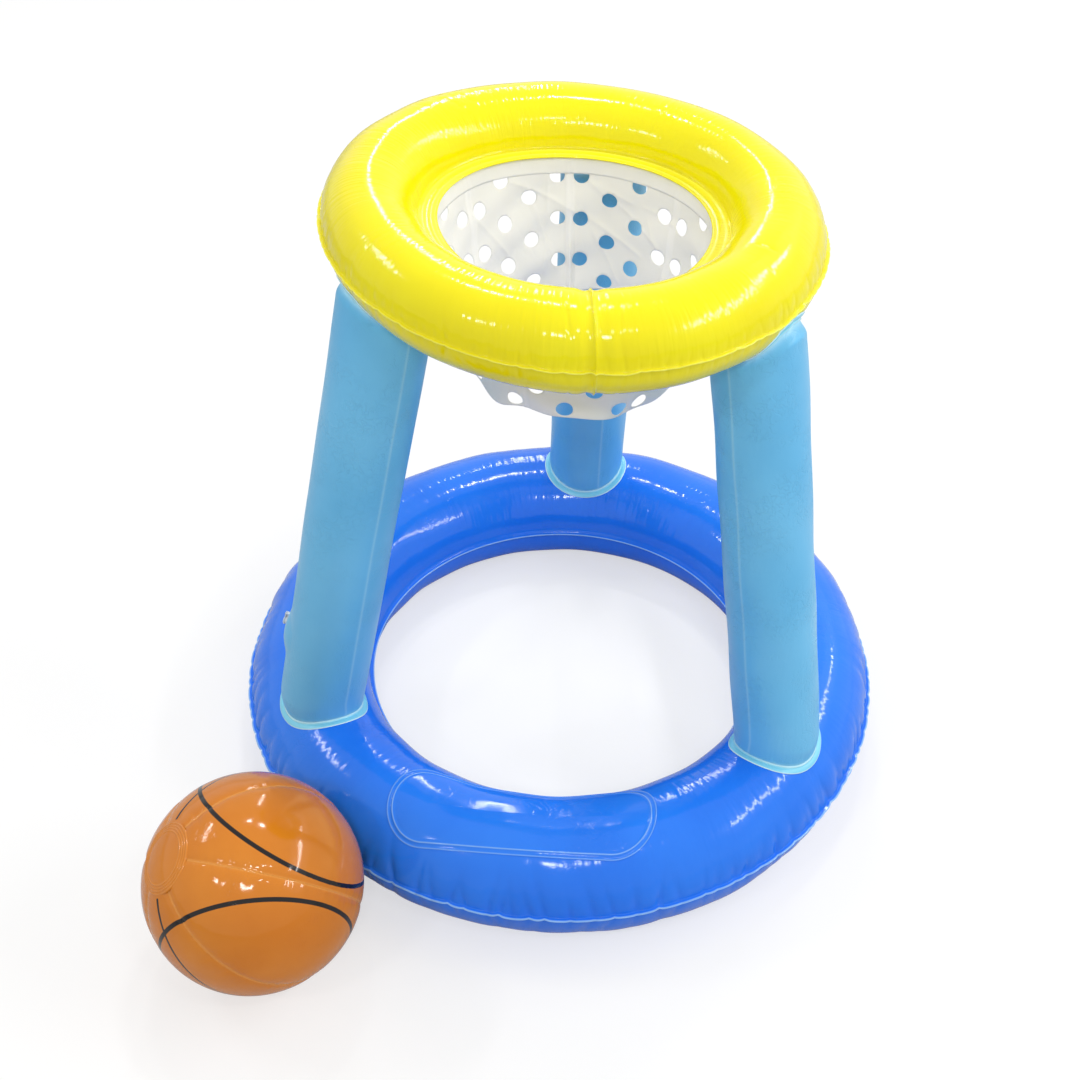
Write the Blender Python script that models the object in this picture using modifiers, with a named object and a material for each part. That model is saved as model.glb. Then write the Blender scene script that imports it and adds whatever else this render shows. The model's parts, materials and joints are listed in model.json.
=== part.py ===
"""Floating basketball hoop for a swimming pool, with its inflatable ball.

Three inflated legs stand on a round base tube that floats, lean inwards and carry
a smaller round rim tube. A punched vinyl net hangs from the rim's inner seam. Each
air chamber is thin film, welded along flat seams, and has its own stoppered valve.
Metres, +Z up, front towards -Y. The origin is on the floor, at the middle of the
box round the hoop and its ball.
"""

import math
from collections import namedtuple

import bmesh
import bpy
from mathutils import Matrix, Vector

# Driving dimensions of the base tube that floats.
BASE_RING_RADIUS = 0.3655
BASE_TUBE_RADIUS = 0.0845
FLOOR_FLAT_WIDTH = 0.042

# Driving dimensions of the rim tube that the net hangs from.
RIM_RING_RADIUS = 0.240
RIM_TUBE_RADIUS = 0.0555
RIM_HEIGHT = 0.8225

# Driving dimensions of the legs. The angles say where round a tube an end sits:
# 0 is the outer side, 90 the crown and -90 the underside.
LEG_RADIUS = 0.0575
LEG_AZIMUTHS = {"back": math.radians(90), "left": math.radians(210), "right": math.radians(330)}
LEG_FOOT_ANGLE = math.radians(93)
LEG_HEAD_ANGLE = math.radians(-78)

# Driving dimensions of the net.
NET_HEIGHT = 0.178
NET_MOUTH_RADIUS = 0.140
NET_HOLE_RADIUS = 0.010
NET_HOLE_ROW_PITCH = 0.028

# Driving dimensions of the ball and where it lies on the floor beside the base.
BALL_RADIUS = 0.1375
BALL_TO_BASE = 0.008
BALL_AZIMUTH = math.radians(235)

# The vinyl film, its welded seams, and the clearance between touching pieces.
FILM = 0.0004
GAP = 0.0003
BASE_SEAM_WIDTH = 0.005
RIM_OUTER_SEAM_WIDTH = 0.004
RIM_INNER_SEAM_WIDTH = 0.018
LEG_COLLAR_WIDTH = 0.008

# Facets: steps round a ring, steps over half a tube, sides of a leg, and so on.
BASE_STEPS = 40
BASE_ARC_STEPS = 8
RIM_STEPS = 36
RIM_ARC_STEPS = 8
LEG_SIDES = 20
PATCH_RINGS = 3
VALVE_SIDES = 12
HOLE_SIDES = 8

# Vertices closer than this are one, and a cutter reaches this far past what it cuts.
MERGE_DISTANCE = 0.00001
CUT_REACH = 0.012

HALF_TURN = math.pi
FULL_TURN = 2 * math.pi

# A ring of tube: radius of its centre line, radius of the tube, height of its centre
# line, and how many facets it has round the ring and over half the tube.
Ring = namedtuple("Ring", "radius tube level steps arc_steps")
BASE_LEVEL = math.sqrt(BASE_TUBE_RADIUS**2 - (FLOOR_FLAT_WIDTH / 2) ** 2)
BASE = Ring(BASE_RING_RADIUS, BASE_TUBE_RADIUS, BASE_LEVEL, BASE_STEPS, BASE_ARC_STEPS)
RIM = Ring(RIM_RING_RADIUS, RIM_TUBE_RADIUS, RIM_HEIGHT, RIM_STEPS, RIM_ARC_STEPS)

# Half the space between an upper and a lower skin, plus the film of one of them.
SEAM_LIFT = GAP / 2 + FILM


for old in list(bpy.data.objects):
    bpy.data.objects.remove(old)

hoop_parts = bpy.data.collections.new("floating_hoop")
cutters = bpy.data.collections.new("cutters")
bpy.context.scene.collection.children.link(hoop_parts)
bpy.context.scene.collection.children.link(cutters)


def vinyl(name, colour, roughness):
    """A plain glossy plastic material."""
    material = bpy.data.materials.new(name)
    material.use_nodes = True
    shader = material.node_tree.nodes["Principled BSDF"]
    shader.inputs["Base Color"].default_value = (*colour, 1)
    shader.inputs["Roughness"].default_value = roughness
    shader.inputs["Metallic"].default_value = 0
    return material


BLUE_VINYL = vinyl("blue_vinyl", (0.03, 0.15, 0.80), 0.25)
YELLOW_VINYL = vinyl("yellow_vinyl", (0.95, 0.87, 0.02), 0.25)
LEG_VINYL = vinyl("leg_vinyl", (0.13, 0.43, 0.68), 0.40)
COLLAR_VINYL = vinyl("collar_vinyl", (0.28, 0.68, 0.87), 0.35)
CLEAR_VINYL = vinyl("clear_vinyl", (0.10, 0.25, 0.85), 0.15)
WHITE_VINYL = vinyl("white_vinyl", (0.83, 0.83, 0.86), 0.45)
ORANGE_VINYL = vinyl("orange_vinyl", (0.60, 0.19, 0.03), 0.25)
VALVE_PLASTIC = vinyl("valve_plastic", (0.75, 0.80, 0.85), 0.35)


def empty(name, parent=None):
    obj = bpy.data.objects.new(name, None)
    hoop_parts.objects.link(obj)
    obj.parent = parent
    return obj


def add_part(name, mesh, material, parent):
    """An object for one piece. A mesh that several pieces share keeps its one material."""
    if not mesh.materials:
        mesh.materials.append(material)
    mesh.shade_smooth()
    obj = bpy.data.objects.new(name, mesh)
    hoop_parts.objects.link(obj)
    obj.parent = parent
    return obj


def add_cutter(name, mesh, parent):
    obj = bpy.data.objects.new(name, mesh)
    cutters.objects.link(obj)
    obj.parent = parent
    obj.hide_render = True
    obj.display_type = "WIRE"
    return obj


def mesh_of(name, bm):
    mesh = bpy.data.meshes.new(name)
    bm.to_mesh(mesh)
    bm.free()
    return mesh


def baked(obj):
    """The object's mesh with its modifiers applied. The object itself is removed."""
    graph = bpy.context.evaluated_depsgraph_get()
    mesh = bpy.data.meshes.new_from_object(obj.evaluated_get(graph))
    bpy.data.objects.remove(obj)
    return mesh


def face_along(bm, direction):
    """Turns every face over if most of them point against direction(centre of face)."""
    bm.normal_update()
    facing = sum(f.normal.dot(direction(f.calc_center_median())) for f in bm.faces)
    if facing < 0:
        bmesh.ops.reverse_faces(bm, faces=bm.faces)


def thicken(obj, thickness, outwards):
    film = obj.modifiers.new("Film", "SOLIDIFY")
    film.thickness = thickness
    film.offset = 1 if outwards else -1
    film.use_even_offset = True


def cut(obj, cutter):
    hole = obj.modifiers.new("Cut", "BOOLEAN")
    hole.operation = "DIFFERENCE"
    hole.solver = "EXACT"
    hole.object = cutter


def profile_mesh(name, points, closed=False):
    """Points (radius, height) joined by edges in the XZ plane, for a Screw modifier."""
    bm = bmesh.new()
    verts = [bm.verts.new((radius, 0, height)) for radius, height in points]
    for first, second in zip(verts, verts[1:]):
        bm.edges.new((first, second))
    if closed:
        bm.edges.new((verts[-1], verts[0]))
    return mesh_of(name, bm)


def turn(obj, steps, angle=FULL_TURN):
    """Sweeps the object's profile round its Z axis."""
    screw = obj.modifiers.new("Turn", "SCREW")
    screw.axis = "Z"
    screw.angle = angle
    screw.steps = steps
    screw.render_steps = steps
    screw.use_merge_vertices = angle == FULL_TURN
    screw.merge_threshold = MERGE_DISTANCE
    return screw


def ring_point(ring, azimuth, angle, height=0.0):
    """A point over the tube: azimuth round the ring, angle round the tube, height above its film."""
    reach = ring.radius + (ring.tube + height) * math.cos(angle)
    level = ring.level + (ring.tube + height) * math.sin(angle)
    return Vector((reach * math.cos(azimuth), reach * math.sin(azimuth), level))


def wrapped_point(ring, azimuth, angle, along, across, height):
    """A point of a flat sheet laid on the tube: along the ring and across it, in metres."""
    here = angle + across / ring.tube
    reach = ring.radius + ring.tube * math.cos(here)
    return ring_point(ring, azimuth + along / reach, here, height)


def away_from_tube(ring, point):
    """The direction from the tube's centre line to a point."""
    flat = Vector((point.x, point.y, 0))
    return point - (flat.normalized() * ring.radius + Vector((0, 0, ring.level)))


def facet_dip(ring, span):
    """How far a flat facet this wide sinks below the round tube that carries it."""
    return (span / 2) ** 2 / (2 * ring.tube)


# The base tube and the rim tube are each two flat rings of film, an upper and a lower
# one, welded together round their outer and inner edges. Inflated, each is half a tube
# with a flat seam on both sides. The floor presses a flat band along the base's underside.
def tube_arc(ring, start, end, steps):
    """Points (radius, height) round the tube from one angle to another."""
    angles = [start + (end - start) * i / steps for i in range(steps + 1)]
    return [
        (ring.radius + ring.tube * math.cos(a), ring.level + ring.tube * math.sin(a))
        for a in angles
    ]


def ring_skin(name, ring, side, outer_seam, inner_seam, floor_flat, material, parent):
    """Half a tube of film: side is 1 for the upper skin and -1 for the lower."""
    seam_angle = math.asin(SEAM_LIFT / ring.tube)
    seam_level = ring.level + side * SEAM_LIFT
    if floor_flat:
        floor_angle = math.acos(floor_flat / 2 / ring.tube)
        half_steps = ring.arc_steps // 2
        arc = tube_arc(ring, side * seam_angle, side * floor_angle, half_steps)
        arc += tube_arc(
            ring, side * (HALF_TURN - floor_angle), side * (HALF_TURN - seam_angle), half_steps
        )
    else:
        arc = tube_arc(
            ring, side * seam_angle, side * (HALF_TURN - seam_angle), ring.arc_steps
        )
    profile = [(ring.radius + ring.tube + outer_seam, seam_level)]
    profile += arc
    profile += [(ring.radius - ring.tube - inner_seam, seam_level)]
    obj = add_part(name, profile_mesh(name, profile), material, parent)
    screw = turn(obj, ring.steps)
    screw.use_normal_flip = side > 0
    thicken(obj, FILM, outwards=False)
    return obj


hoop = empty("hoop")

base_upper = ring_skin(
    "base_upper_skin", BASE, 1, BASE_SEAM_WIDTH, BASE_SEAM_WIDTH, None, BLUE_VINYL, hoop
)
base_lower = ring_skin(
    "base_lower_skin", BASE, -1, BASE_SEAM_WIDTH, BASE_SEAM_WIDTH,
    FLOOR_FLAT_WIDTH, BLUE_VINYL, hoop,
)
rim_upper = ring_skin(
    "rim_upper_skin", RIM, 1, RIM_OUTER_SEAM_WIDTH, RIM_INNER_SEAM_WIDTH,
    None, YELLOW_VINYL, hoop,
)
rim_lower = ring_skin(
    "rim_lower_skin", RIM, -1, RIM_OUTER_SEAM_WIDTH, RIM_INNER_SEAM_WIDTH,
    None, YELLOW_VINYL, hoop,
)


# Each leg is a closed tube of film. A round patch closes each end and is welded to the
# ring's film, and the patch's edge shows round the leg as a pale collar. Near its ends a
# leg bends from its straight run to the curve on its patch.
PATCH_RADIUS = LEG_RADIUS + LEG_COLLAR_WIDTH
PATCH_FACET = max(LEG_RADIUS / (PATCH_RINGS - 1), FULL_TURN * PATCH_RADIUS / LEG_SIDES)
LEG_BLEND_SHARE = 0.4
LEG_BLEND = LEG_BLEND_SHARE * LEG_RADIUS


def patch_lift(ring):
    """Height of a patch's underside over the tube: its facets must clear the ring's."""
    return GAP + facet_dip(ring, PATCH_FACET) * (1 + ring.tube / ring.radius)


def leg_patch(name, ring, azimuth, angle, parent):
    """A round sheet laid on the ring where a leg ends."""
    inner_radii = [LEG_RADIUS * i / (PATCH_RINGS - 1) for i in range(PATCH_RINGS)]
    bm = bmesh.new()
    verts = [bm.verts.new((radius, 0, 0)) for radius in inner_radii + [PATCH_RADIUS]]
    edges = [bm.edges.new(pair) for pair in zip(verts, verts[1:])]
    bmesh.ops.spin(
        bm, geom=verts + edges, axis=(0, 0, 1), cent=(0, 0, 0),
        angle=FULL_TURN, steps=LEG_SIDES, use_merge=True,
    )
    bmesh.ops.remove_doubles(bm, verts=bm.verts, dist=MERGE_DISTANCE)
    for vert in bm.verts:
        vert.co = wrapped_point(ring, azimuth, angle, vert.co.y, vert.co.x, patch_lift(ring))
    face_along(bm, lambda point: away_from_tube(ring, point))
    obj = add_part(name, mesh_of(name, bm), COLLAR_VINYL, parent)
    thicken(obj, FILM, outwards=True)
    return obj


def leg_axes(azimuth):
    """Foot point, unit vector up the leg, its length, and two unit vectors across it."""
    foot = ring_point(BASE, azimuth, LEG_FOOT_ANGLE)
    head = ring_point(RIM, azimuth, LEG_HEAD_ANGLE)
    up = (head - foot).normalized()
    along = Vector((-math.sin(azimuth), math.cos(azimuth), 0))
    inward = up.cross(along)
    if inward.dot(foot) > 0:
        inward.negate()
    return foot, up, (head - foot).length, along, inward


def leg_section(azimuth, distance, turned):
    """A point on the leg's round section, turned round from the inward side."""
    foot, up, _, along, inward = leg_axes(azimuth)
    radius = LEG_RADIUS - FILM
    return foot + up * distance + (along * math.sin(turned) + inward * math.cos(turned)) * radius


def leg_tube(name, azimuth, parent):
    """The leg's film, from the curve on its foot patch to the curve on its head patch."""
    _, _, length, _, _ = leg_axes(azimuth)
    radius = LEG_RADIUS - FILM
    turns = [FULL_TURN * i / LEG_SIDES for i in range(LEG_SIDES)]
    foot_height = patch_lift(BASE) + FILM + 2 * GAP
    head_height = patch_lift(RIM) + FILM + 2 * GAP
    foot_curve = [
        wrapped_point(
            BASE, azimuth, LEG_FOOT_ANGLE,
            radius * math.sin(t), radius * math.cos(t), foot_height,
        )
        for t in turns
    ]
    head_curve = [
        wrapped_point(
            RIM, azimuth, LEG_HEAD_ANGLE,
            radius * math.sin(t), -radius * math.cos(t), head_height,
        )
        for t in turns
    ]
    sections = [foot_curve]
    sections += [
        [leg_section(azimuth, distance, t) for t in turns]
        for distance in (LEG_BLEND, length - LEG_BLEND)
    ]
    sections += [head_curve]
    bm = bmesh.new()
    loops = []
    for points in sections:
        circle = bmesh.ops.create_circle(bm, cap_ends=False, segments=LEG_SIDES, radius=radius)
        for vert, point in zip(circle["verts"], points):
            vert.co = point
        loops.append({e for v in circle["verts"] for e in v.link_edges})
    for lower, upper in zip(loops, loops[1:]):
        bmesh.ops.bridge_loops(bm, edges=list(lower | upper))
    foot, up, _, _, _ = leg_axes(azimuth)
    face_along(bm, lambda point: (point - foot) - up * (point - foot).dot(up))
    obj = add_part(name, mesh_of(name, bm), LEG_VINYL, parent)
    thicken(obj, FILM, outwards=True)
    return obj


leg_tubes = {}
for place, leg_azimuth in LEG_AZIMUTHS.items():
    leg_tubes[place] = leg_tube(f"leg_{place}_tube", leg_azimuth, hoop)
    leg_patch(f"leg_{place}_foot_patch", BASE, leg_azimuth, LEG_FOOT_ANGLE, hoop)
    leg_patch(f"leg_{place}_head_patch", RIM, leg_azimuth, LEG_HEAD_ANGLE, hoop)


# A long oval of clear film is welded to the base at the front, over a bare field.
BADGE_LENGTH = 0.350
BADGE_WIDTH = 0.118
BADGE_AZIMUTH = math.radians(270)
BADGE_ANGLE = math.radians(98)
BADGE_STEPS_LONG = 16
BADGE_STEPS_WIDE = 6
BADGE_TIP_SHARE = 0.985

bm = bmesh.new()
bmesh.ops.create_grid(
    bm, x_segments=BADGE_STEPS_LONG, y_segments=BADGE_STEPS_WIDE, size=1
)
badge_facet = BADGE_WIDTH / BADGE_STEPS_WIDE
badge_lift = GAP + facet_dip(BASE, badge_facet) * 2
straight_half = (BADGE_LENGTH - BADGE_WIDTH) / 2
for vert in bm.verts:
    along = math.sin(vert.co.x * HALF_TURN / 2) * BADGE_LENGTH / 2 * BADGE_TIP_SHARE
    into_end = max(0, abs(along) - straight_half)
    half_width = math.sqrt((BADGE_WIDTH / 2) ** 2 - into_end**2)
    vert.co = wrapped_point(
        BASE, BADGE_AZIMUTH, BADGE_ANGLE, along, vert.co.y * half_width, badge_lift
    )
face_along(bm, lambda point: away_from_tube(BASE, point))
badge = add_part("badge_patch", mesh_of("badge_patch", bm), CLEAR_VINYL, hoop)
thicken(badge, FILM, outwards=True)


# The net is a short cone of punched film, welded together from upright panels. A plain
# band, whose upper edge is caught under the rim's inner seam, carries it. Each panel has
# the same few holes in a row, and its rows are staggered against its neighbours' rows.
NET_STEPS = RIM_STEPS
NET_PANELS = 7
NET_PANEL_STEPS = 5
BAND_HEIGHT = 0.022
BAND_LAP = 0.007
NET_HOLE_ROWS = 6
NET_HOLES_PER_ROW = 2
NET_FIRST_ROW_DROP = 0.025
NET_BACK_WELD = math.radians(98)
NET_EDGE_HOLE = math.radians(5)
NET_HOLE_TURN = math.radians(26.9)

NET_TOP_RADIUS = RIM_RING_RADIUS - RIM_TUBE_RADIUS - RIM_INNER_SEAM_WIDTH
NET_TOP_LEVEL = RIM_HEIGHT - SEAM_LIFT - GAP - FILM
NET_SLOPE = (NET_TOP_RADIUS - NET_MOUTH_RADIUS) / NET_HEIGHT


def net_radius(drop):
    """Radius of the net's cone this far below its upper edge."""
    return NET_TOP_RADIUS - NET_SLOPE * drop


band_profile = [
    (RIM_RING_RADIUS - RIM_TUBE_RADIUS - 2 * GAP, NET_TOP_LEVEL),
    (NET_TOP_RADIUS, NET_TOP_LEVEL),
    (net_radius(BAND_HEIGHT), NET_TOP_LEVEL - BAND_HEIGHT),
]
net_band = add_part("net_band", profile_mesh("net_band", band_profile), WHITE_VINYL, hoop)
turn(net_band, NET_STEPS)
thicken(net_band, FILM, outwards=False)

# The middle of a panel's flat facets must clear the band's corners, so that the panel's
# own corners lie a little further out.
panel_turn = FULL_TURN / NET_PANELS
panel_seam = GAP / NET_MOUTH_RADIUS
panel_rise = 1 / math.cos(panel_turn / NET_PANEL_STEPS / 2)
body_top_drop = BAND_HEIGHT - BAND_LAP
panel_profile = [
    ((net_radius(drop) + GAP) * panel_rise, NET_TOP_LEVEL - drop)
    for drop in (body_top_drop, (body_top_drop + NET_HEIGHT) / 2, NET_HEIGHT)
]


def punch(row, azimuth, bm):
    """Adds a cutter for one hole of the net."""
    drop = NET_FIRST_ROW_DROP + row * NET_HOLE_ROW_PITCH
    reach = net_radius(drop)
    centre = (reach * math.cos(azimuth), reach * math.sin(azimuth), NET_TOP_LEVEL - drop)
    sideways = Matrix.Rotation(azimuth, 4, "Z") @ Matrix.Rotation(HALF_TURN / 2, 4, "Y")
    bmesh.ops.create_cone(
        bm, cap_ends=True, segments=HOLE_SIDES, radius1=NET_HOLE_RADIUS,
        radius2=NET_HOLE_RADIUS, depth=2 * CUT_REACH,
        matrix=Matrix.Translation(centre) @ sideways,
    )


for number in range(NET_PANELS):
    from_back = number - NET_PANELS // 2
    weld = NET_BACK_WELD - panel_turn * from_back
    name = f"net_panel_{number + 1}"
    panel = add_part(name, profile_mesh(name, panel_profile), WHITE_VINYL, hoop)
    panel.rotation_euler = (0, 0, weld - panel_turn + panel_seam / 2)
    turn(panel, NET_PANEL_STEPS, panel_turn - panel_seam)
    thicken(panel, FILM, outwards=True)
    bm = bmesh.new()
    for row in range(NET_HOLE_ROWS):
        stagger = (row + from_back) % 2 / 2
        for column in range(NET_HOLES_PER_ROW):
            punch(row, weld - NET_EDGE_HOLE - NET_HOLE_TURN * (column + stagger), bm)
    cut(panel, add_cutter(f"{name}_cutter", mesh_of(f"{name}_cutter", bm), hoop))


# The ball is six gores of film welded edge to edge, with a round disc over each pole.
BALL_GORES = 6
GORE_STEPS = 4
GORE_ARC_STEPS = 8
POLE_DISC_RADIUS = 0.040
POLE_LAP = 0.006
DISC_SIDES = 18
DISC_RINGS = 2
BALL_GORE_PHASE = math.radians(21.5)
BALL_POLE_AZIMUTH = math.radians(-153)
BALL_POLE_TILT = math.radians(34)

tube_to_ball = BALL_RADIUS + BASE_TUBE_RADIUS + BALL_TO_BASE
ball_distance = BASE_RING_RADIUS + math.sqrt(
    tube_to_ball**2 - (BALL_RADIUS - BASE_LEVEL) ** 2
)
ball = empty("ball", hoop)
ball.location = (
    ball_distance * math.cos(BALL_AZIMUTH),
    ball_distance * math.sin(BALL_AZIMUTH),
    BALL_RADIUS,
)
ball.rotation_euler = (0, HALF_TURN / 2 - BALL_POLE_TILT, BALL_POLE_AZIMUTH)

# A disc's flat facets sink below the round ball, along its radius and round its rim. The
# gores' ends lie just under them.
disc_angle = POLE_DISC_RADIUS / BALL_RADIUS
hole_angle = (POLE_DISC_RADIUS - POLE_LAP) / BALL_RADIUS
disc_ring_width = POLE_DISC_RADIUS / DISC_RINGS
lap_in_ring = min(POLE_LAP, disc_ring_width / 2)
radial_dip = lap_in_ring * (disc_ring_width - lap_in_ring) / (2 * BALL_RADIUS)
rim_dip = BALL_RADIUS * math.sin(hole_angle) ** 2 * (1 - math.cos(HALF_TURN / DISC_SIDES))
gore_radius = BALL_RADIUS - FILM - radial_dip - rim_dip - GAP
gore_seam = 2 * GAP / gore_radius
gore_turn = FULL_TURN / BALL_GORES - gore_seam
gore_profile = [
    (
        gore_radius * math.sin(hole_angle + (HALF_TURN - 2 * hole_angle) * i / GORE_ARC_STEPS),
        gore_radius * math.cos(hole_angle + (HALF_TURN - 2 * hole_angle) * i / GORE_ARC_STEPS),
    )
    for i in range(GORE_ARC_STEPS + 1)
]
gore_mesh = profile_mesh("ball_gore", gore_profile)
ball_gores = []
for number in range(BALL_GORES):
    gore = add_part(f"ball_gore_{number + 1}", gore_mesh, ORANGE_VINYL, ball)
    gore.rotation_euler = (0, 0, BALL_GORE_PHASE + number * FULL_TURN / BALL_GORES)
    turn(gore, GORE_STEPS, gore_turn)
    thicken(gore, FILM, outwards=False)
    ball_gores.append(gore)

disc_profile = [
    (
        (BALL_RADIUS - FILM) * math.sin(disc_angle * i / DISC_RINGS),
        (BALL_RADIUS - FILM) * math.cos(disc_angle * i / DISC_RINGS),
    )
    for i in range(DISC_RINGS + 1)
]
for name, tip in (("ball_front_disc", 0), ("ball_back_disc", HALF_TURN)):
    disc = add_part(name, profile_mesh(name, disc_profile), ORANGE_VINYL, ball)
    disc.rotation_euler = (tip, 0, 0)
    turn(disc, DISC_SIDES)
    thicken(disc, FILM, outwards=True)


# Every chamber has a valve: a round foot welded over a hole in the film, a short stem,
# and a stopper on a strap. The strap bends at the outer top edge of a lug beside the stem.
VALVE_FOOT_RADIUS = 0.0145
VALVE_FOOT_THICKNESS = 0.0010
STEM_RADIUS = 0.0058
STEM_HEIGHT = 0.0080
BORE_RADIUS = 0.0041
CAP_RADIUS = 0.0068
CAP_THICKNESS = 0.0014
PLUG_RADIUS = 0.0037
PLUG_TIP_RADIUS = 0.0031
PLUG_DEPTH = 0.0036
HINGE_REACH = 0.0128
STRAP_WIDTH = 0.0050
STRAP_THICKNESS = 0.0012


def block(name, low, high):
    """A box between two corners."""
    bm = bmesh.new()
    bmesh.ops.create_cube(bm, size=1)
    for vert in bm.verts:
        for axis in range(3):
            vert.co[axis] = high[axis] if vert.co[axis] > 0 else low[axis]
    return mesh_of(name, bm)


def joined(name, profile, closed, block_mesh):
    """A turned piece and a block made one body."""
    obj = add_part(name, profile_mesh(name, profile, closed), VALVE_PLASTIC, None)
    turn(obj, VALVE_SIDES)
    tool = add_part(name + "_block", block_mesh, VALVE_PLASTIC, None)
    union = obj.modifiers.new("Join", "BOOLEAN")
    union.operation = "UNION"
    union.solver = "EXACT"
    union.object = tool
    mesh = baked(obj)
    bpy.data.objects.remove(tool)
    mesh.name = name
    return mesh


body_profile = [
    (BORE_RADIUS, STEM_HEIGHT),
    (STEM_RADIUS, STEM_HEIGHT),
    (STEM_RADIUS, VALVE_FOOT_THICKNESS),
    (VALVE_FOOT_RADIUS, VALVE_FOOT_THICKNESS),
    (VALVE_FOOT_RADIUS, 0),
    (BORE_RADIUS, 0),
]
lug = block(
    "lug",
    (HINGE_REACH - STRAP_THICKNESS, -STRAP_WIDTH / 2, VALVE_FOOT_THICKNESS / 2),
    (HINGE_REACH, STRAP_WIDTH / 2, STEM_HEIGHT),
)
valve_body_mesh = joined("valve_body", body_profile, True, lug)

# The stopper is drawn from its hinge, at the lug's outer top edge.
cap_top = GAP + CAP_THICKNESS
stopper_profile = [
    (0, cap_top),
    (CAP_RADIUS, cap_top),
    (CAP_RADIUS, GAP),
    (PLUG_RADIUS, GAP),
    (PLUG_TIP_RADIUS, GAP - PLUG_DEPTH),
    (0, GAP - PLUG_DEPTH),
]
strap = block(
    "strap",
    (CAP_RADIUS / 2, -STRAP_WIDTH / 2, GAP),
    (HINGE_REACH, STRAP_WIDTH / 2, GAP + STRAP_THICKNESS),
)
stopper_mesh = joined("valve_stopper", stopper_profile, False, strap)
stopper_mesh.transform(Matrix.Translation((-HINGE_REACH, 0, 0)))

bm = bmesh.new()
bmesh.ops.create_cone(
    bm, cap_ends=True, segments=VALVE_SIDES, radius1=BORE_RADIUS,
    radius2=BORE_RADIUS, depth=2 * CUT_REACH,
)
bore_cutter_mesh = mesh_of("bore_cutter", bm)


def seat_on(corners, strap_turn):
    """Where a valve stands on a flat facet, its strap turned this far from the facet's first edge."""
    middle = sum(corners, Vector()) / len(corners)
    outward = (corners[1] - corners[0]).cross(corners[2] - corners[0]).normalized()
    first = (corners[1] - corners[0]).normalized()
    seat = Matrix((first, outward.cross(first), outward)).transposed().to_4x4()
    seat.translation = middle + outward * GAP
    return seat @ Matrix.Rotation(strap_turn, 4, "Z")


def ring_facet(ring, side, step, arc_step):
    """Corners of one facet of the upper (1) or lower (-1) skin, anticlockwise from outside."""
    seam_angle = math.asin(SEAM_LIFT / ring.tube)
    span = (HALF_TURN - 2 * seam_angle) / ring.arc_steps
    angles = [side * (seam_angle + span * (arc_step + i)) for i in (0, 1)]
    azimuths = [FULL_TURN * (step + i) / ring.steps for i in (0, 1)]
    places = ((0, 0), (1, 0), (1, 1), (0, 1))[::side]
    return [ring_point(ring, azimuths[a], angles[b]) for a, b in places]


def leg_facet(azimuth, side, distance):
    """Corners of a stretch of one side of a leg, anticlockwise from outside."""
    _, up, _, _, _ = leg_axes(azimuth)
    turns = [FULL_TURN * (side + i) / LEG_SIDES for i in (0, 1)]
    low = [leg_section(azimuth, distance - VALVE_FOOT_RADIUS, t) for t in turns]
    high = [leg_section(azimuth, distance + VALVE_FOOT_RADIUS, t) for t in turns]
    corners = [low[0], low[1], high[1], high[0]]
    axis_point = leg_axes(azimuth)[0] + up * distance
    outward = (sum(corners, Vector()) / len(corners) - axis_point).normalized()
    if (corners[1] - corners[0]).cross(corners[2] - corners[0]).dot(outward) < 0:
        corners = [low[1], low[0], high[0], high[1]]
    return [corner + outward * FILM for corner in corners]


def gore_facet(step, arc_step):
    """Corners of one facet of a gore, anticlockwise from outside, in the gore's own frame."""
    azimuths = [gore_turn * (step + i) / GORE_STEPS for i in (0, 1)]
    rings = [gore_profile[arc_step + i] for i in (1, 0)]
    places = ((0, 0), (1, 0), (1, 1), (0, 1))
    return [
        Vector((rings[b][0] * math.cos(azimuths[a]), rings[b][0] * math.sin(azimuths[a]), rings[b][1]))
        for a, b in places
    ]


def add_valve(name, seat, film, parent):
    """A valve body, its stopper and the hole in the film below it."""
    body = add_part(f"{name}_valve_body", valve_body_mesh, VALVE_PLASTIC, parent)
    body.matrix_local = seat
    stopper = add_part(f"{name}_valve_stopper", stopper_mesh, VALVE_PLASTIC, parent)
    stopper.matrix_local = seat @ Matrix.Translation((HINGE_REACH, 0, STEM_HEIGHT))
    cutter = add_cutter(f"{name}_valve_cutter", bore_cutter_mesh, parent)
    cutter.matrix_local = seat
    cut(film, cutter)


BASE_VALVE_STEP = 10
BASE_VALVE_ARC_STEP = 1
RIM_VALVE_STEP = 11
RIM_VALVE_ARC_STEP = 1
LEG_VALVE_HEIGHT = 0.105
LEG_VALVE_SIDES = {"back": 10, "left": 12, "right": 4}
BALL_VALVE_GORE = 4
BALL_VALVE_STEP = 1
BALL_VALVE_ARC_STEP = 3

base_facet = ring_facet(BASE, 1, BASE_VALVE_STEP, BASE_VALVE_ARC_STEP)
add_valve("base", seat_on(base_facet, 0), base_upper, hoop)
rim_facet = ring_facet(RIM, -1, RIM_VALVE_STEP, RIM_VALVE_ARC_STEP)
add_valve("rim", seat_on(rim_facet, 0), rim_lower, hoop)
for place, leg_azimuth in LEG_AZIMUTHS.items():
    facet = leg_facet(leg_azimuth, LEG_VALVE_SIDES[place], LEG_VALVE_HEIGHT)
    add_valve(f"leg_{place}", seat_on(facet, HALF_TURN / 2), leg_tubes[place], hoop)
gore = ball_gores[BALL_VALVE_GORE]
gore_seat = seat_on(gore_facet(BALL_VALVE_STEP, BALL_VALVE_ARC_STEP), 0)
add_valve(
    "ball", Matrix.Rotation(gore.rotation_euler.z, 4, "Z") @ gore_seat, gore, ball
)


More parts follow.
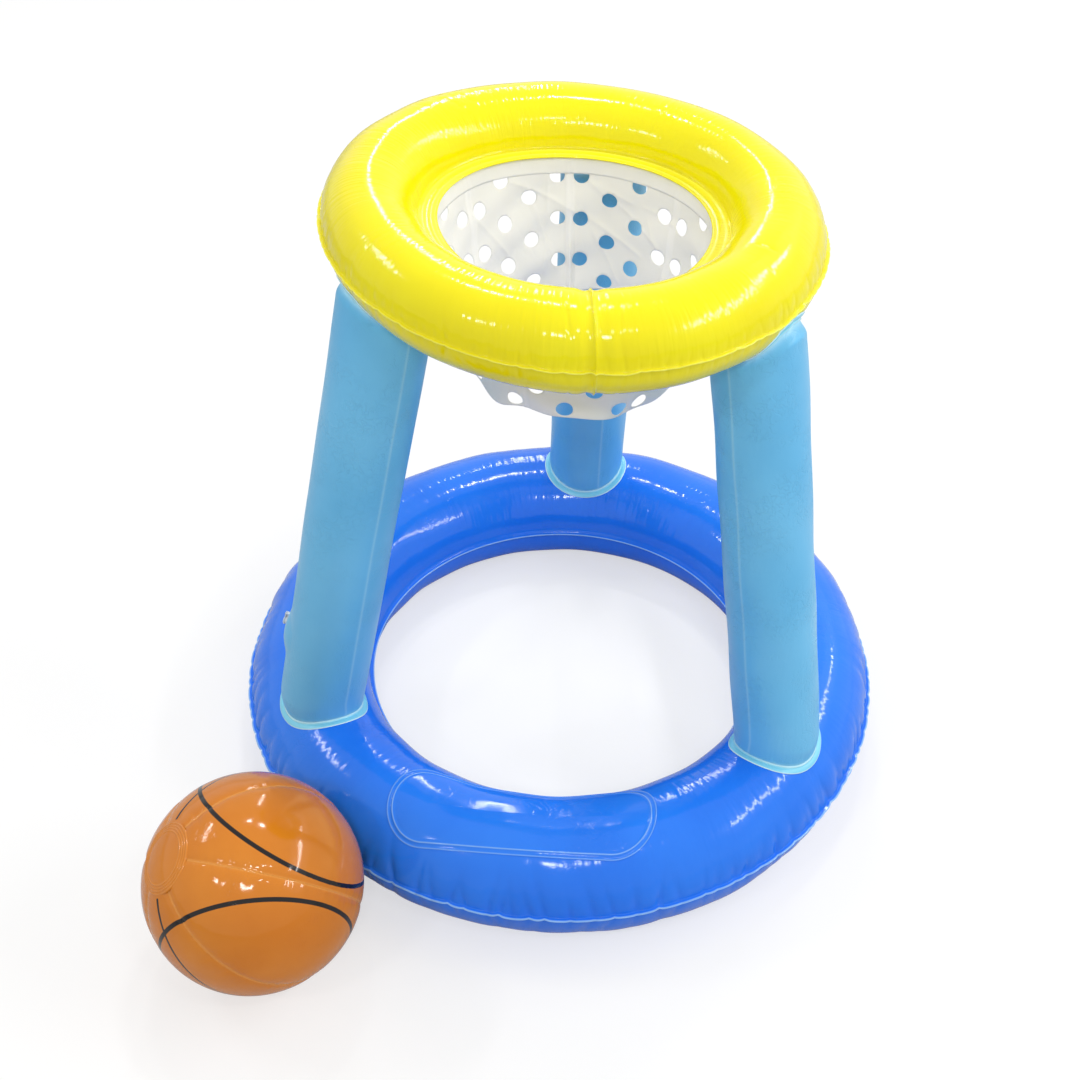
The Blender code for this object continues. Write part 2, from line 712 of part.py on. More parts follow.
# The origin: on the floor, at the middle of the box round everything.
bpy.context.view_layer.update()
graph = bpy.context.evaluated_depsgraph_get()
corners = []
for obj in hoop_parts.objects:
    if obj.type == "MESH":
        seen = obj.evaluated_get(graph)
        corners += [seen.matrix_world @ v.co for v in seen.to_mesh().vertices]
        seen.to_mesh_clear()
for axis in (0, 1):
    values = [corner[axis] for corner in corners]
    hoop.location[axis] = -(min(values) + max(values)) / 2
bpy.context.view_layer.update()
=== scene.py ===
"""Looks for a floating basketball hoop and its ball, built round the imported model.

The hoop is welded from thin vinyl film: a blue base tube that floats, three pale blue
legs, a yellow rim tube and a punched white net. An inflated orange ball lies beside it.
Metres, +Z up, front towards -Y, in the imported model's own frame.
"""

import json
import math

import bmesh
import bpy
import numpy as np
from mathutils import Matrix, Vector


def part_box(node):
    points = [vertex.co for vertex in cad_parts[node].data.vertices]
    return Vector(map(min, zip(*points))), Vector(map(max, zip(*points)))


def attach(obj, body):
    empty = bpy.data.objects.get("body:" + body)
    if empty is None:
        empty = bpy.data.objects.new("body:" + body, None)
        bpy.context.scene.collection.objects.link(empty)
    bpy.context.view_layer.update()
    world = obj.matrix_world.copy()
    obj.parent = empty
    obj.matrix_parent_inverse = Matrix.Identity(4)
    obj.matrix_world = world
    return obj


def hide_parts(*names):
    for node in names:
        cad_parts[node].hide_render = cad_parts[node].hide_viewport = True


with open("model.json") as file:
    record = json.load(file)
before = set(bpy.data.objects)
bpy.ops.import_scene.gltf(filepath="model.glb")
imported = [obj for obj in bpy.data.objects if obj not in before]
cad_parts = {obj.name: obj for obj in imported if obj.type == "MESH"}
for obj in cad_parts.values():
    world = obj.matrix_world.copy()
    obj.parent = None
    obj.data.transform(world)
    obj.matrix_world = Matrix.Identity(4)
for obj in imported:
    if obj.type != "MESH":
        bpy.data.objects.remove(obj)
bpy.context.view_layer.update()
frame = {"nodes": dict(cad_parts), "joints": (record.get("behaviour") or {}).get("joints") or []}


# The camera stands where the photograph was taken from, above and in front of the hoop.
# The hoop stands on a plain pale floor, beside a long row of windows and under a few
# ceiling lamps. Camera and mirror rays see a white room, and the camera a white floor.
low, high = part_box("base_upper_skin")
HOOP = Vector(((low.x + high.x) / 2, (low.y + high.y) / 2, 0))

CAMERA_PLACE = Vector((0.16802, -1.66362, 1.84826))
CAMERA_AIM = Vector((-0.0729, 0.3470, 0))
CAMERA_LENS = 54.49
CAMERA_SENSOR = 36
FLOOR_RADIUS = 9
FLOOR_DROP = 0.0005
FLOOR_GLOW = 0.6
ROOM_LIGHT = 0.50



def look_at(made, place):
    """Turns a camera or a lamp towards this place over the hoop."""
    towards = HOOP + place - made.location
    made.rotation_euler = towards.to_track_quat("-Z", "Y").to_euler()


scene = bpy.context.scene
camera_data = bpy.data.cameras.new("photo_camera")
camera_data.lens = CAMERA_LENS
camera_data.sensor_width = CAMERA_SENSOR
camera = bpy.data.objects.new("photo_camera", camera_data)
camera.location = HOOP + CAMERA_PLACE
look_at(camera, CAMERA_AIM)
scene.collection.objects.link(camera)
scene.camera = camera
scene.view_settings.view_transform = "Standard"


def add_node(tree, kind, inputs=None, **settings):
    """A shader node with these settings; each input is a value or a socket to link."""
    made = tree.nodes.new(kind)
    for key, value in settings.items():
        setattr(made, key, value)
    for key, value in (inputs or {}).items():
        if isinstance(value, bpy.types.NodeSocket):
            tree.links.new(value, made.inputs[key])
        else:
            made.inputs[key].default_value = value
    return made


def maths(tree, operation, first, second=0.5, third=0.5):
    """The outcome of one Math node."""
    values = {0: first, 1: second, 2: third}
    return add_node(tree, "ShaderNodeMath", values, operation=operation).outputs[0]


def mixed(tree, factor, first, second):
    """A colour between two others."""
    mix = add_node(tree, "ShaderNodeMix", {0: factor, 6: first, 7: second}, data_type="RGBA")
    return mix.outputs[2]


def seen_by(tree, *rays):
    """One for rays of these kinds, and zero for light that bounces."""
    path = add_node(tree, "ShaderNodeLightPath").outputs
    seen = path[f"Is {rays[0]} Ray"]
    for ray in rays[1:]:
        seen = maths(tree, "MAXIMUM", seen, path[f"Is {ray} Ray"])
    return seen


def finished(name, bm):
    """The mesh of a bmesh that needs nothing more."""
    mesh = bpy.data.meshes.new(name)
    bm.to_mesh(mesh)
    bm.free()
    return mesh


world = bpy.data.worlds.new("studio")
scene.world = world
world.use_nodes = True
tree = world.node_tree
warm = (1, 0.99, 0.97, 1)
room = add_node(tree, "ShaderNodeBackground", {"Color": warm, "Strength": ROOM_LIGHT})
white = add_node(tree, "ShaderNodeBackground", {"Color": (1, 1, 1, 1), "Strength": 1})
seen = seen_by(tree, "Camera", "Glossy", "Transmission")
both = add_node(tree, "ShaderNodeMixShader", {0: seen, 1: room.outputs[0], 2: white.outputs[0]})
tree.links.new(both.outputs[0], tree.nodes["World Output"].inputs["Surface"])

bm = bmesh.new()
bmesh.ops.create_circle(bm, cap_ends=True, segments=64, radius=FLOOR_RADIUS)
floor_mesh = finished("floor", bm)
floor = bpy.data.objects.new("floor", floor_mesh)
floor.location.z = -FLOOR_DROP
scene.collection.objects.link(floor)
floor_material = bpy.data.materials.new("pale_floor")
floor_material.use_nodes = True
tree = floor_material.node_tree
tree.nodes.remove(tree.nodes["Principled BSDF"])
grey, pale = (0.62, 0.62, 0.62, 1), (0.97, 0.97, 0.97, 1)
seen = seen_by(tree, "Camera", "Transmission")
paint = add_node(tree, "ShaderNodeBsdfDiffuse", {"Color": mixed(tree, seen, grey, pale)})
glow = add_node(tree, "ShaderNodeEmission", {"Color": (1, 1, 1, 1), "Strength": 1})
share = maths(tree, "MULTIPLY", seen, FLOOR_GLOW)
both = add_node(tree, "ShaderNodeMixShader", {0: share, 1: paint.outputs[0], 2: glow.outputs[0]})
tree.links.new(both.outputs[0], tree.nodes["Material Output"].inputs["Surface"])
floor_mesh.materials.append(floor_material)


def lamp(name, place, size, power):
    """A flat lamp at this place over the hoop, turned towards the middle of the hoop."""
    data = bpy.data.lights.new(name, "AREA")
    data.shape = "RECTANGLE"
    data.size, data.size_y = size
    data.energy = power
    made = bpy.data.objects.new(name, data)
    made.location = HOOP + Vector(place)
    look_at(made, Vector((0, 0, 0.4)))
    made.visible_camera = False
    scene.collection.objects.link(made)


lamp("window_row", (4.3, 1.4, 4.0), (9.8, 2.2), 30)
lamp("window", (4.2, 1.0, 3.9), (6.0, 0.30), 125)
lamp("ceiling_lamp_1", (-0.7, 1.7, 4.3), (0.36, 0.16), 13)
lamp("ceiling_lamp_2", (0.28, 1.5, 4.3), (0.50, 0.20), 22)
lamp("left_lamp", (-3.8, 0.85, 4.0), (1.7, 0.18), 34)
lamp("front_lamp", (0.35, -3.6, 4.0), (0.72, 0.40), 34)
lamp("front_left_lamp", (-2.2, -3.2, 4.0), (0.45, 0.35), 19)
lamp("front_right_lamp", (1.4, -2.1, 4.0), (0.75, 0.15), 14)
lamp("back_lamp", (-0.8, 6.0, 4.2), (0.22, 2.6), 42)


# The base is a ring of blue vinyl tube that floats. An upper and a lower ring of film are
# welded together round their outer and inner edges. Blown up, the outer edge is too long
# for its ring, so its seam puckers, while the inner seam is drawn smooth.
FILM = 0.0004
FILM_SHINE = 0.34
WELD_GAP = 0.0003
BASE_RING_RADIUS = 0.3655
BASE_TUBE_RADIUS = 0.0845
BASE_LEVEL = 0.08185
BASE_LIP = 0.005
BASE_PILLOW = 0.0042
BASE_SAG = 0.006
BASE_NARROWING = 0.006
BASE_FRONT_SWELL = 0.001
BASE_SEAM_WAVE = 0.0015
BASE_STEPS = 1150
HALF_TUBE_STEPS = 34


def srgb(red, green, blue):
    """A colour as an eye reads it, 0 to 255, in the linear values that sockets take."""
    return tuple(((c / 255 + 0.055) / 1.055) ** 2.4 for c in (red, green, blue)) + (1,)


RELIEF_SIZES = (
    "Ripple size", "Ripple depth", "Crease size", "Crease depth", "Cover", "Streak size",
    "Streak depth",
)
film_relief = bpy.data.node_groups.new("film_relief", "ShaderNodeTree")
for way, kind, names in (
    ("INPUT", "Vector", ("Place", "Drawn place")),
    ("INPUT", "Float", RELIEF_SIZES),
    ("OUTPUT", "Float", ("Height", "Creases", "Cloud")),
):
    for name in names:
        film_relief.interface.new_socket(name, in_out=way, socket_type=f"NodeSocket{kind}")
given = add_node(film_relief, "NodeGroupInput").outputs


def noise(tree, place, scale, **settings):
    values = {"Vector": place, "Scale": scale, "Detail": 2, **settings}
    return add_node(tree, "ShaderNodeTexNoise", values).outputs["Fac"]


def spread(tree, value, least, most, first=0, last=1):
    """The value from least to most, spread from first to last."""
    values = {"Value": value, "From Min": least, "From Max": most, "To Min": first, "To Max": last}
    return add_node(tree, "ShaderNodeMapRange", values).outputs["Result"]


# Ripples are the film's slow unevenness. Creases are thin lines where a noise crosses its
# middle, only in patches. Streaks are drawn out across the tube, and are weaker in places.
tree = film_relief
ripple = noise(tree, given["Place"], maths(tree, "DIVIDE", 1, given["Ripple size"]))
ripple = maths(tree, "MULTIPLY", maths(tree, "SUBTRACT", ripple, 0.5), given["Ripple depth"])
fine_scale = maths(tree, "DIVIDE", 1, given["Crease size"])
lines = noise(tree, given["Place"], fine_scale, Detail=1, Distortion=0.7)
lines = maths(tree, "ABSOLUTE", maths(tree, "MULTIPLY_ADD", lines, 2, -1))
lines = maths(tree, "POWER", maths(tree, "SUBTRACT", 1, lines), 16)
patches = noise(tree, given["Place"], maths(tree, "DIVIDE", fine_scale, 7), Roughness=0.6)
edge = maths(tree, "SUBTRACT", 0.75, maths(tree, "MULTIPLY", given["Cover"], 0.5))
patches = spread(tree, patches, edge, maths(tree, "ADD", edge, 0.12))
creases = maths(tree, "MULTIPLY", lines, patches)
sunk = maths(tree, "MULTIPLY", creases, given["Crease depth"])
streak_scale = maths(tree, "DIVIDE", 1, given["Streak size"])
streaks = noise(tree, given["Drawn place"], streak_scale, Detail=1)
streaks = maths(tree, "MULTIPLY", maths(tree, "SUBTRACT", streaks, 0.5), given["Streak depth"])
rough_parts = spread(tree, noise(tree, given["Place"], 5, Detail=1), 0.40, 0.60, 0.25)
streaks = maths(tree, "MULTIPLY", streaks, rough_parts)
ripple = maths(tree, "ADD", ripple, streaks)
cloud = noise(tree, given["Place"], 7, Detail=4)
add_node(
    tree, "NodeGroupOutput",
    {"Height": maths(tree, "SUBTRACT", ripple, sunk), "Creases": creases, "Cloud": cloud},
)


def vector_maths(tree, operation, values, outcome="Vector"):
    """The outcome of one Vector Math node."""
    return add_node(tree, "ShaderNodeVectorMath", values, operation=operation).outputs[outcome]


def round_the_ring(tree, place):
    """A place that changes along a ring of tube and hardly across it, for drawn creases."""
    flat = vector_maths(tree, "MULTIPLY", {0: place, 1: (1, 1, 0)})
    towards = vector_maths(tree, "NORMALIZE", {0: flat})
    circle = vector_maths(tree, "SCALE", {0: towards, "Scale": 0.35})
    across = vector_maths(tree, "MULTIPLY", {0: place, 1: (0.12, 0.12, 0.12)})
    return vector_maths(tree, "ADD", {0: circle, 1: across})


def up_the_tube(tree, place):
    """A place that changes round an upright tube and hardly up it."""
    return vector_maths(tree, "MULTIPLY", {0: place, 1: (1, 1, 0.1)})


# Every kind of film by its name, which is the slot of its pieces too.
films = {}


def vinyl(
    name, colour, deep, weld, roughness, ripple, crease, streak=(0.01, 0), drawn=None,
    middle=HOOP, printed=None,
):
    """A kind of film: its colour, the colour in its clouds and the pale colour at its welds,
    partly the welds' own and partly a painted highlight along their lips and beads. Ripple
    is (size, depth in mm), crease (size, depth in mm, cover), and streak (size, depth in mm),
    drawn out as the function drawn says. Printed adds a print to the colour."""
    material = films[name] = bpy.data.materials.new(name)
    material.use_nodes = True
    tree = material.node_tree
    shader = tree.nodes["Principled BSDF"]
    place = add_node(
        tree, "ShaderNodeMapping",
        {"Vector": add_node(tree, "ShaderNodeTexCoord").outputs["Object"], "Location": -middle},
    ).outputs["Vector"]
    sizes = dict(zip(RELIEF_SIZES, ripple + crease + streak))
    sizes.update({"Place": place, "Drawn place": drawn(tree, place) if drawn else place})
    relief = add_node(tree, "ShaderNodeGroup", sizes, node_tree=film_relief).outputs
    # The weld colour goes where the weld attribute is set: the welds' own pale colour, and in
    # places a painted highlight along their lips and beads.
    welds_and_highlights = add_node(tree, "ShaderNodeAttribute", attribute_name="weld").outputs["Fac"]
    cloudy = spread(tree, relief["Cloud"], 0.35, 0.65)
    plain = mixed(tree, cloudy, srgb(*colour), srgb(*deep))
    shade = mixed(tree, welds_and_highlights, plain, srgb(*weld))
    shade = printed(tree, place, shade) if printed else shade
    dull = spread(tree, relief["Cloud"], 0.3, 0.7, roughness * 0.8, roughness * 1.25)
    dull = maths(tree, "ADD", dull, maths(tree, "MULTIPLY", relief["Creases"], 0.1))
    bump = add_node(
        tree, "ShaderNodeBump", {"Height": relief["Height"], "Distance": 0.001, "Strength": 1}
    )
    shader.inputs["Specular IOR Level"].default_value = FILM_SHINE
    tree.links.new(shade, shader.inputs["Base Color"])
    tree.links.new(dull, shader.inputs["Roughness"])
    tree.links.new(bump.outputs["Normal"], shader.inputs["Normal"])


def chain_mesh(name, chain, steps, turned=math.tau):
    """A grid of faces wrapped round the Z axis along a chain of points (radius, height)."""
    bm = bmesh.new()
    bmesh.ops.create_grid(bm, x_segments=steps, y_segments=len(chain) - 1, size=0.5)
    meeting = []
    for vert in bm.verts:
        angle = (vert.co.x + 0.5) * turned
        radius, height = chain[round((vert.co.y + 0.5) * (len(chain) - 1))]
        if abs(vert.co.x) > 0.4999 or radius == 0:
            meeting.append(vert)
        vert.co = (radius * math.cos(angle), radius * math.sin(angle), height)
    bmesh.ops.remove_doubles(bm, verts=meeting, dist=0.000002)
    return finished(name, bm)


def points_of(mesh):
    points = np.empty(len(mesh.vertices) * 3)
    mesh.vertices.foreach_get("co", points)
    return points.reshape(-1, 3)


def polar(points):
    """Each point's reach from the Z axis, its turn round it, and its height."""
    x, y, height = points.T
    return np.hypot(x, y), np.arctan2(y, x), height


def at_polar(reach, turn, height):
    values = np.broadcast_arrays(reach * np.cos(turn), reach * np.sin(turn), height)
    return np.column_stack(values)


def hill(aside, width, power=2):
    """A hill that is 1 in its middle and runs out past this width on each side."""
    return np.exp(-(np.abs(aside / width) ** power))


def put_points(mesh, points, inside):
    """Moves the mesh's points to their places round the hoop's own middle, and turns its
    faces away from the points inside(centres)."""
    points = np.ascontiguousarray(points + np.array(HOOP), dtype=float)
    mesh.vertices.foreach_set("co", points.ravel())
    mesh.update()
    centres, normals = np.empty((2, len(mesh.polygons), 3))
    mesh.polygons.foreach_get("center", centres.ravel())
    mesh.polygons.foreach_get("normal", normals.ravel())
    centres -= np.array(HOOP)
    if ((centres - inside(centres)) * normals).sum() < 0:
        mesh.flip_normals()


def add_film(mesh, slot, nodes, body="hoop", thickness=FILM):
    """One welded piece of film in place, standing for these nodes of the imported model."""
    mesh.materials.append(films[slot])
    mesh.shade_smooth()
    piece = bpy.data.objects.new(mesh.name, mesh)
    scene.collection.objects.link(piece)
    if thickness:
        wall = piece.modifiers.new("wall", "SOLIDIFY")
        wall.thickness = thickness
        wall.offset = -1
    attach(piece, body)
    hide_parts(*nodes)
    return piece


def mark_welds_and_highlights(mesh, share):
    """How much each point takes the pale weld colour, from 0 to 1, for the material: the weld's
    own colour, and in places a painted highlight along its lip or bead.
    """
    mark = mesh.attributes.new("weld", "FLOAT", "POINT")
    mark.data.foreach_set("value", np.clip(share, 0, 1).astype(np.float32))


def eased(share):
    share = np.clip(share, 0, 1)
    return share * share * (3 - 2 * share)


def row_of_puckers(rng, length, spacing, depth, width, reach):
    """Creases across a welded seam that closes on itself, each range as (least, most)."""
    count = round(2 * length / sum(spacing))
    gaps = rng.uniform(*spacing, count)
    return {
        "length": length,
        "place": np.cumsum(gaps) * length / gaps.sum(),
        "depth": rng.uniform(*depth, count),
        "width": rng.uniform(*width, count),
        "reach": rng.uniform(*reach, count),
        "slant": rng.uniform(-0.3, 0.3, count),
        "kick": rng.normal(0, 1, count),
    }


def aside_of(row, along, off=0):
    """Distance from each crease of the row, the short way round."""
    aside = along[:, None] - row["place"] + row["slant"] * np.atleast_1d(off)[:, None]
    return np.abs((aside + row["length"] / 2) % row["length"] - row["length"] / 2)


def pucker_depth(row, along, off):
    """How deep the creases are at these places along the seam and this far off it."""
    depth = np.zeros(len(along))
    near = off < 2.2 * row["reach"].max()
    away = np.maximum(off[near], 0)[:, None]
    width = row["width"] * (1 + away / 0.03)
    groove = hill(aside_of(row, along[near], off[near]), width, 1.3)
    fade = hill(away, row["reach"], 1.5)
    depth[near] = (row["depth"] * groove * fade).sum(axis=1)
    return depth


def film_waves(rng, rounds, count, size):
    """Slow waves over a tube: rounds along the ring and about the tube, phase and size."""
    return [
        (rng.integers(*rounds), rng.integers(-2, 3), rng.uniform(0, math.tau), rng.normal(0, size))
        for _ in range(count)
    ]


def wave_height(waves, turn, angle):
    return sum(size * np.cos(n * turn + m * angle + phase) for n, m, phase, size in waves)


rng = np.random.default_rng(11)
base_seam = math.tau * (BASE_RING_RADIUS + BASE_TUBE_RADIUS)
base_row = row_of_puckers(
    rng, base_seam, spacing=(0.014, 0.034), depth=(0.0026, 0.0064), width=(0.0030, 0.0060),
    reach=(0.014, 0.050),
)
base_waves = film_waves(rng, (4, 22), 14, 0.00015)


def uneven(size, row, waves, turn, angle, root, root_reach, waves_from):
    """The puckers and slow waves of a ring's film, as a rise. Root is the share of a pucker
    that is left in the seam itself; the waves begin this far from the seam."""
    ring, tube, _ = size
    off = tube * angle
    creased = pucker_depth(row, turn % math.tau * (ring + tube), off)
    creased *= root + (1 - root) * np.clip(off / root_reach, 0, 1)
    calm = eased(off / waves_from) * eased((math.pi - angle) / 0.6)
    return calm * wave_height(waves, turn, angle) - creased


base_size = (BASE_RING_RADIUS, BASE_TUBE_RADIUS, BASE_LEVEL)


def base_rise(turn, angle):
    """How far the base's film stands out from a true tube. Angle 0 is the outer seam."""
    pillow = BASE_PILLOW * hill(BASE_TUBE_RADIUS * angle, 0.040)
    return pillow + uneven(base_size, base_row, base_waves, turn, angle, 0.35, 0.009, 0.05)


def seam_wave(row, turn, size):
    """How far an outer seam rises and falls: a little peak at each crease, and slow waves."""
    aside = aside_of(row, turn % math.tau * row["length"] / math.tau)
    peaks = (row["kick"] * hill(aside, 0.006, 1.2)).sum(axis=1)
    return size * (peaks + 0.5 * np.cos(7 * turn + 1) + 0.4 * np.cos(17 * turn))


def base_inside(centres):
    """For face directions: the nearest points of the base's centre line."""
    return at_polar(BASE_RING_RADIUS, polar(centres)[1], BASE_LEVEL)


def half_tube(name, size, side, outer_lip, inner_lip, steps, crowding):
    """Half a ring of tube, its rows crowded near the outer seam, with lips at these distances
    from it. Returns the mesh, and each point's turn, its reach and height from the tube's
    centre line, and its angle from the outer seam."""
    ring, tube, level = size
    lift = side * (WELD_GAP / 2 + FILM)
    first = math.asin(abs(lift) / tube)
    shares = [(i / HALF_TUBE_STEPS) ** crowding for i in range(HALF_TUBE_STEPS + 1)]
    chain = [(ring + tube + out, level + lift) for out in outer_lip]
    for angle in (first + (math.pi - 2 * first) * share for share in shares):
        chain.append((ring + tube * math.cos(angle), level + side * tube * math.sin(angle)))
    chain += [(ring - tube - out, level + lift) for out in inner_lip]
    mesh = chain_mesh(name, chain, steps)
    reach, turn, height = polar(points_of(mesh))
    reach, height = reach - ring, height - level
    return mesh, turn, reach, height, np.arctan2(np.abs(height), reach)


vinyl(
    "blue_vinyl", (38, 127, 249), (30, 118, 242), (150, 198, 250), 0.11,
    (0.035, 0.30), (0.016, 0.20, 0.35), (0.009, 0.60), round_the_ring,
)
base_lip = [BASE_LIP * share for share in (1, 0.8, 0.6, 0.25)]
for side, half in ((1, "upper"), (-1, "lower")):
    mesh, turn, reach, height, angle = half_tube(
        f"base_{half}_film", base_size, side, base_lip, base_lip[::-1], BASE_STEPS, 1.35
    )
    off = BASE_TUBE_RADIUS * angle
    rise = base_rise(turn, angle)
    # The lip's outermost edge takes the pale weld colour, a painted highlight along the seam's
    # edge.
    lip = np.clip((np.abs(reach) - BASE_TUBE_RADIUS - 0.6 * BASE_LIP) / (0.25 * BASE_LIP), 0, 1)
    if side < 0:
        rise = rise + BASE_SAG * (1.1 - 0.3 * np.sin(turn)) * hill(angle - 0.9, 0.55)
    reach = BASE_RING_RADIUS + reach + rise * np.cos(angle)
    height = BASE_LEVEL + height + side * rise * np.sin(angle)
    # The seam stands out a little in front, and the ring is a little narrow on its right.
    front = np.clip(-np.sin(turn), 0, 1) ** 2 * hill(off, 0.06)
    right = np.clip(np.cos(turn), 0, 1) ** 2 * hill(off, 0.06)
    reach += BASE_FRONT_SWELL * front - BASE_NARROWING * right
    height += BASE_FRONT_SWELL * front
    height += seam_wave(base_row, turn, BASE_SEAM_WAVE) * np.exp(-off / 0.012)
    height = np.maximum(height, 0.0002 if side > 0 else 0)
    put_points(mesh, at_polar(reach, turn, height), base_inside)
    mark_welds_and_highlights(mesh, lip)
    add_film(mesh, "blue_vinyl", [f"base_{half}_skin"])


# A long oval of clear film is welded to the front of the base with two lines, one round
# its edge and one inside that. The blue film shows through it, over a bare field.
BADGE_LENGTH = 0.364
BADGE_WIDTH = 0.118
BADGE_AZIMUTH = math.radians(267.7)
BADGE_ANGLE = math.radians(95.5)
BADGE_BEND = 0.63
BADGE_TILT = 0.060
BADGE_POINTS = 240


def laid_on(ring_radius, tube, level, rise, azimuth, angle, along, across, height):
    """Points of a flat sheet laid on a ring of tube, along the ring and across it."""
    here = angle + across / tube
    reach = ring_radius + tube * np.cos(here)
    turn = azimuth + along / reach
    out = tube + rise(turn, np.abs(here)) + height
    return at_polar(ring_radius + out * np.cos(here), turn, level + out * np.sin(here))


def racetrack(inset, count):
    """Points round a long oval, this far inside the badge's outline."""
    radius = BADGE_WIDTH / 2 - inset
    straight = BADGE_LENGTH - BADGE_WIDTH
    arc = math.pi * BADGE_WIDTH / 2
    walked = np.arange(count) / count * 2 * (straight + arc)
    second = walked >= straight + arc
    walked = walked % (straight + arc)
    bent = np.clip((walked - straight) / arc, 0, 1) * math.pi
    x = np.minimum(walked, straight) - straight / 2 + radius * np.sin(bent)
    y = -radius * np.cos(bent)
    return np.where(second, -x, x), np.where(second, -y, y)


def edges_of(verts):
    """Every edge at these points, once each and in a fixed order."""
    return list(dict.fromkeys(edge for vert in verts for edge in vert.link_edges))


# Loops of the badge, in mm: how far inside its outline, and how high over the tube.
badge_loops = [
    (0, 0.2), (0.3, 0.9), (1.2, 1.1), (2.1, 1.0), (2.8, 0.5), (4.5, 0.5), (6.8, 0.6), (7.4, 1.0),
    (8.2, 1.2), (9.0, 1.0), (9.6, 0.6), (13, 0.6), (22, 0.7), (36, 0.8), (48, 0.8), (58.9, 0.8),
]
bm = bmesh.new()
rounds = []
for inset, height in badge_loops:
    circle = bmesh.ops.create_circle(bm, cap_ends=False, segments=BADGE_POINTS, radius=1)["verts"]
    for vert, x, y in zip(circle, *racetrack(inset / 1000, BADGE_POINTS)):
        vert.co = (x, y, height / 1000)
    rounds.append(edges_of(circle))
for outer, inner in zip(rounds, rounds[1:]):
    bmesh.ops.bridge_loops(bm, edges=outer + inner)
bmesh.ops.remove_doubles(bm, verts=bm.verts, dist=0.0003)
mesh = finished("badge_film", bm)
x, y, height = points_of(mesh).T
# The ends of the stiff film lie a little further out, as they would if it stayed straight,
# and it was welded on a little askew.
askew = BADGE_TILT * x - BADGE_BEND * x**2 / (2 * BASE_RING_RADIUS)
points = laid_on(*base_size, base_rise, BADGE_AZIMUTH, BADGE_ANGLE, x, y + askew, height)
put_points(mesh, points, base_inside)
# Only the two lines of weld stand higher than this, and the blue shows through the rest.
mark_welds_and_highlights(mesh, 0.8 * (height - 0.0009) / 0.0003)
vinyl(
    "clear_vinyl", (42, 130, 250), (34, 121, 243), (150, 198, 250), 0.10,
    (0.040, 0.28), (0.020, 0.20, 0.5), (0.009, 0.12), round_the_ring,
)
add_film(mesh, "clear_vinyl", ["badge_patch"], thickness=0)


# The rim is the same kind of tube in yellow film, smaller and higher up. Its inner weld is
# a wide flange that holds the net, and one weld across the tube closes its film. Blown up
# on its legs, it leans a little to the right, and the legs' tops and the net lean with it.
RIM_RING_RADIUS = 0.240
RIM_TUBE_RADIUS = 0.0555
RIM_LEVEL = 0.8225
RIM_OUTER_LIP = 0.004
RIM_INNER_LIP = 0.024
RIM_PILLOW = 0.0012
RIM_SEAM_WAVE = 0.0012
RIM_STEPS = 900
CROSS_WELD = math.radians(-80)
LEAN_START = 0.17
LEAN_RISE = 0.58
LEAN_SLOPE = (0.0645, 0.0209)
LEAN_SHIFT = (0.0097, 0.0090)


def lean(points, least=0):
    """Leans points round the hoop's own middle with the rim, and draws them out of round.
    The legs lean more and more from their feet up, and the net by at least this share."""
    share = np.maximum(np.clip((points[:, 2] - LEAN_START) / LEAN_RISE, 0, 1), least)
    turn = polar(points)[1]
    oval = 0.0012 + 0.0005 * np.cos(2 * turn) + 0.0020 * np.sin(2 * turn)
    oval += 0.0030 * np.sin(3 * turn) - 0.0013 * np.cos(3 * turn)
    moved = points.copy()
    moved[:, 0] += share * (LEAN_SHIFT[0] + oval * np.cos(turn))
    moved[:, 1] += share * (LEAN_SHIFT[1] + oval * np.sin(turn))
    moved[:, 2] -= share * (LEAN_SLOPE[0] * points[:, 0] + LEAN_SLOPE[1] * points[:, 1])
    return moved


rim_size = (RIM_RING_RADIUS, RIM_TUBE_RADIUS, RIM_LEVEL)
rim_seam = math.tau * (RIM_RING_RADIUS + RIM_TUBE_RADIUS)
rim_row = row_of_puckers(
    rng, rim_seam, spacing=(0.011, 0.020), depth=(0.0008, 0.0026), width=(0.0022, 0.0036),
    reach=(0.006, 0.026),
)
rim_waves = film_waves(rng, (4, 20), 12, 0.00016)
# Short wrinkles: turn and angle round the tube, length in mm, slant, and depth in mm.
RIM_WRINKLES = [
    (129, 84, 24, 0.3, 0.9), (132, 94, 36, 0.4, 1.2), (135, 82, 44, 0.4, 1.5),
    (138, 90, 40, 0.5, 1.3), (141, 78, 36, 0.5, 1.2), (145, 88, 26, 0.4, 0.8),
    (-23, 88, 22, 0.1, 1.2), (-30, 62, 16, 0.0, 0.6), (-86, 60, 40, 0.2, 1.0),
    (-74, 66, 34, -0.2, 0.9), (20, 110, 20, 0.2, 0.6), (60, 70, 22, -0.3, 0.6),
    (-140, 58, 20, 0.2, 0.6), (170, 60, 24, 0.1, 0.6),
]


def short_way(turn):
    """The same turn, from half a round back to half a round on."""
    return np.angle(np.exp(1j * turn))


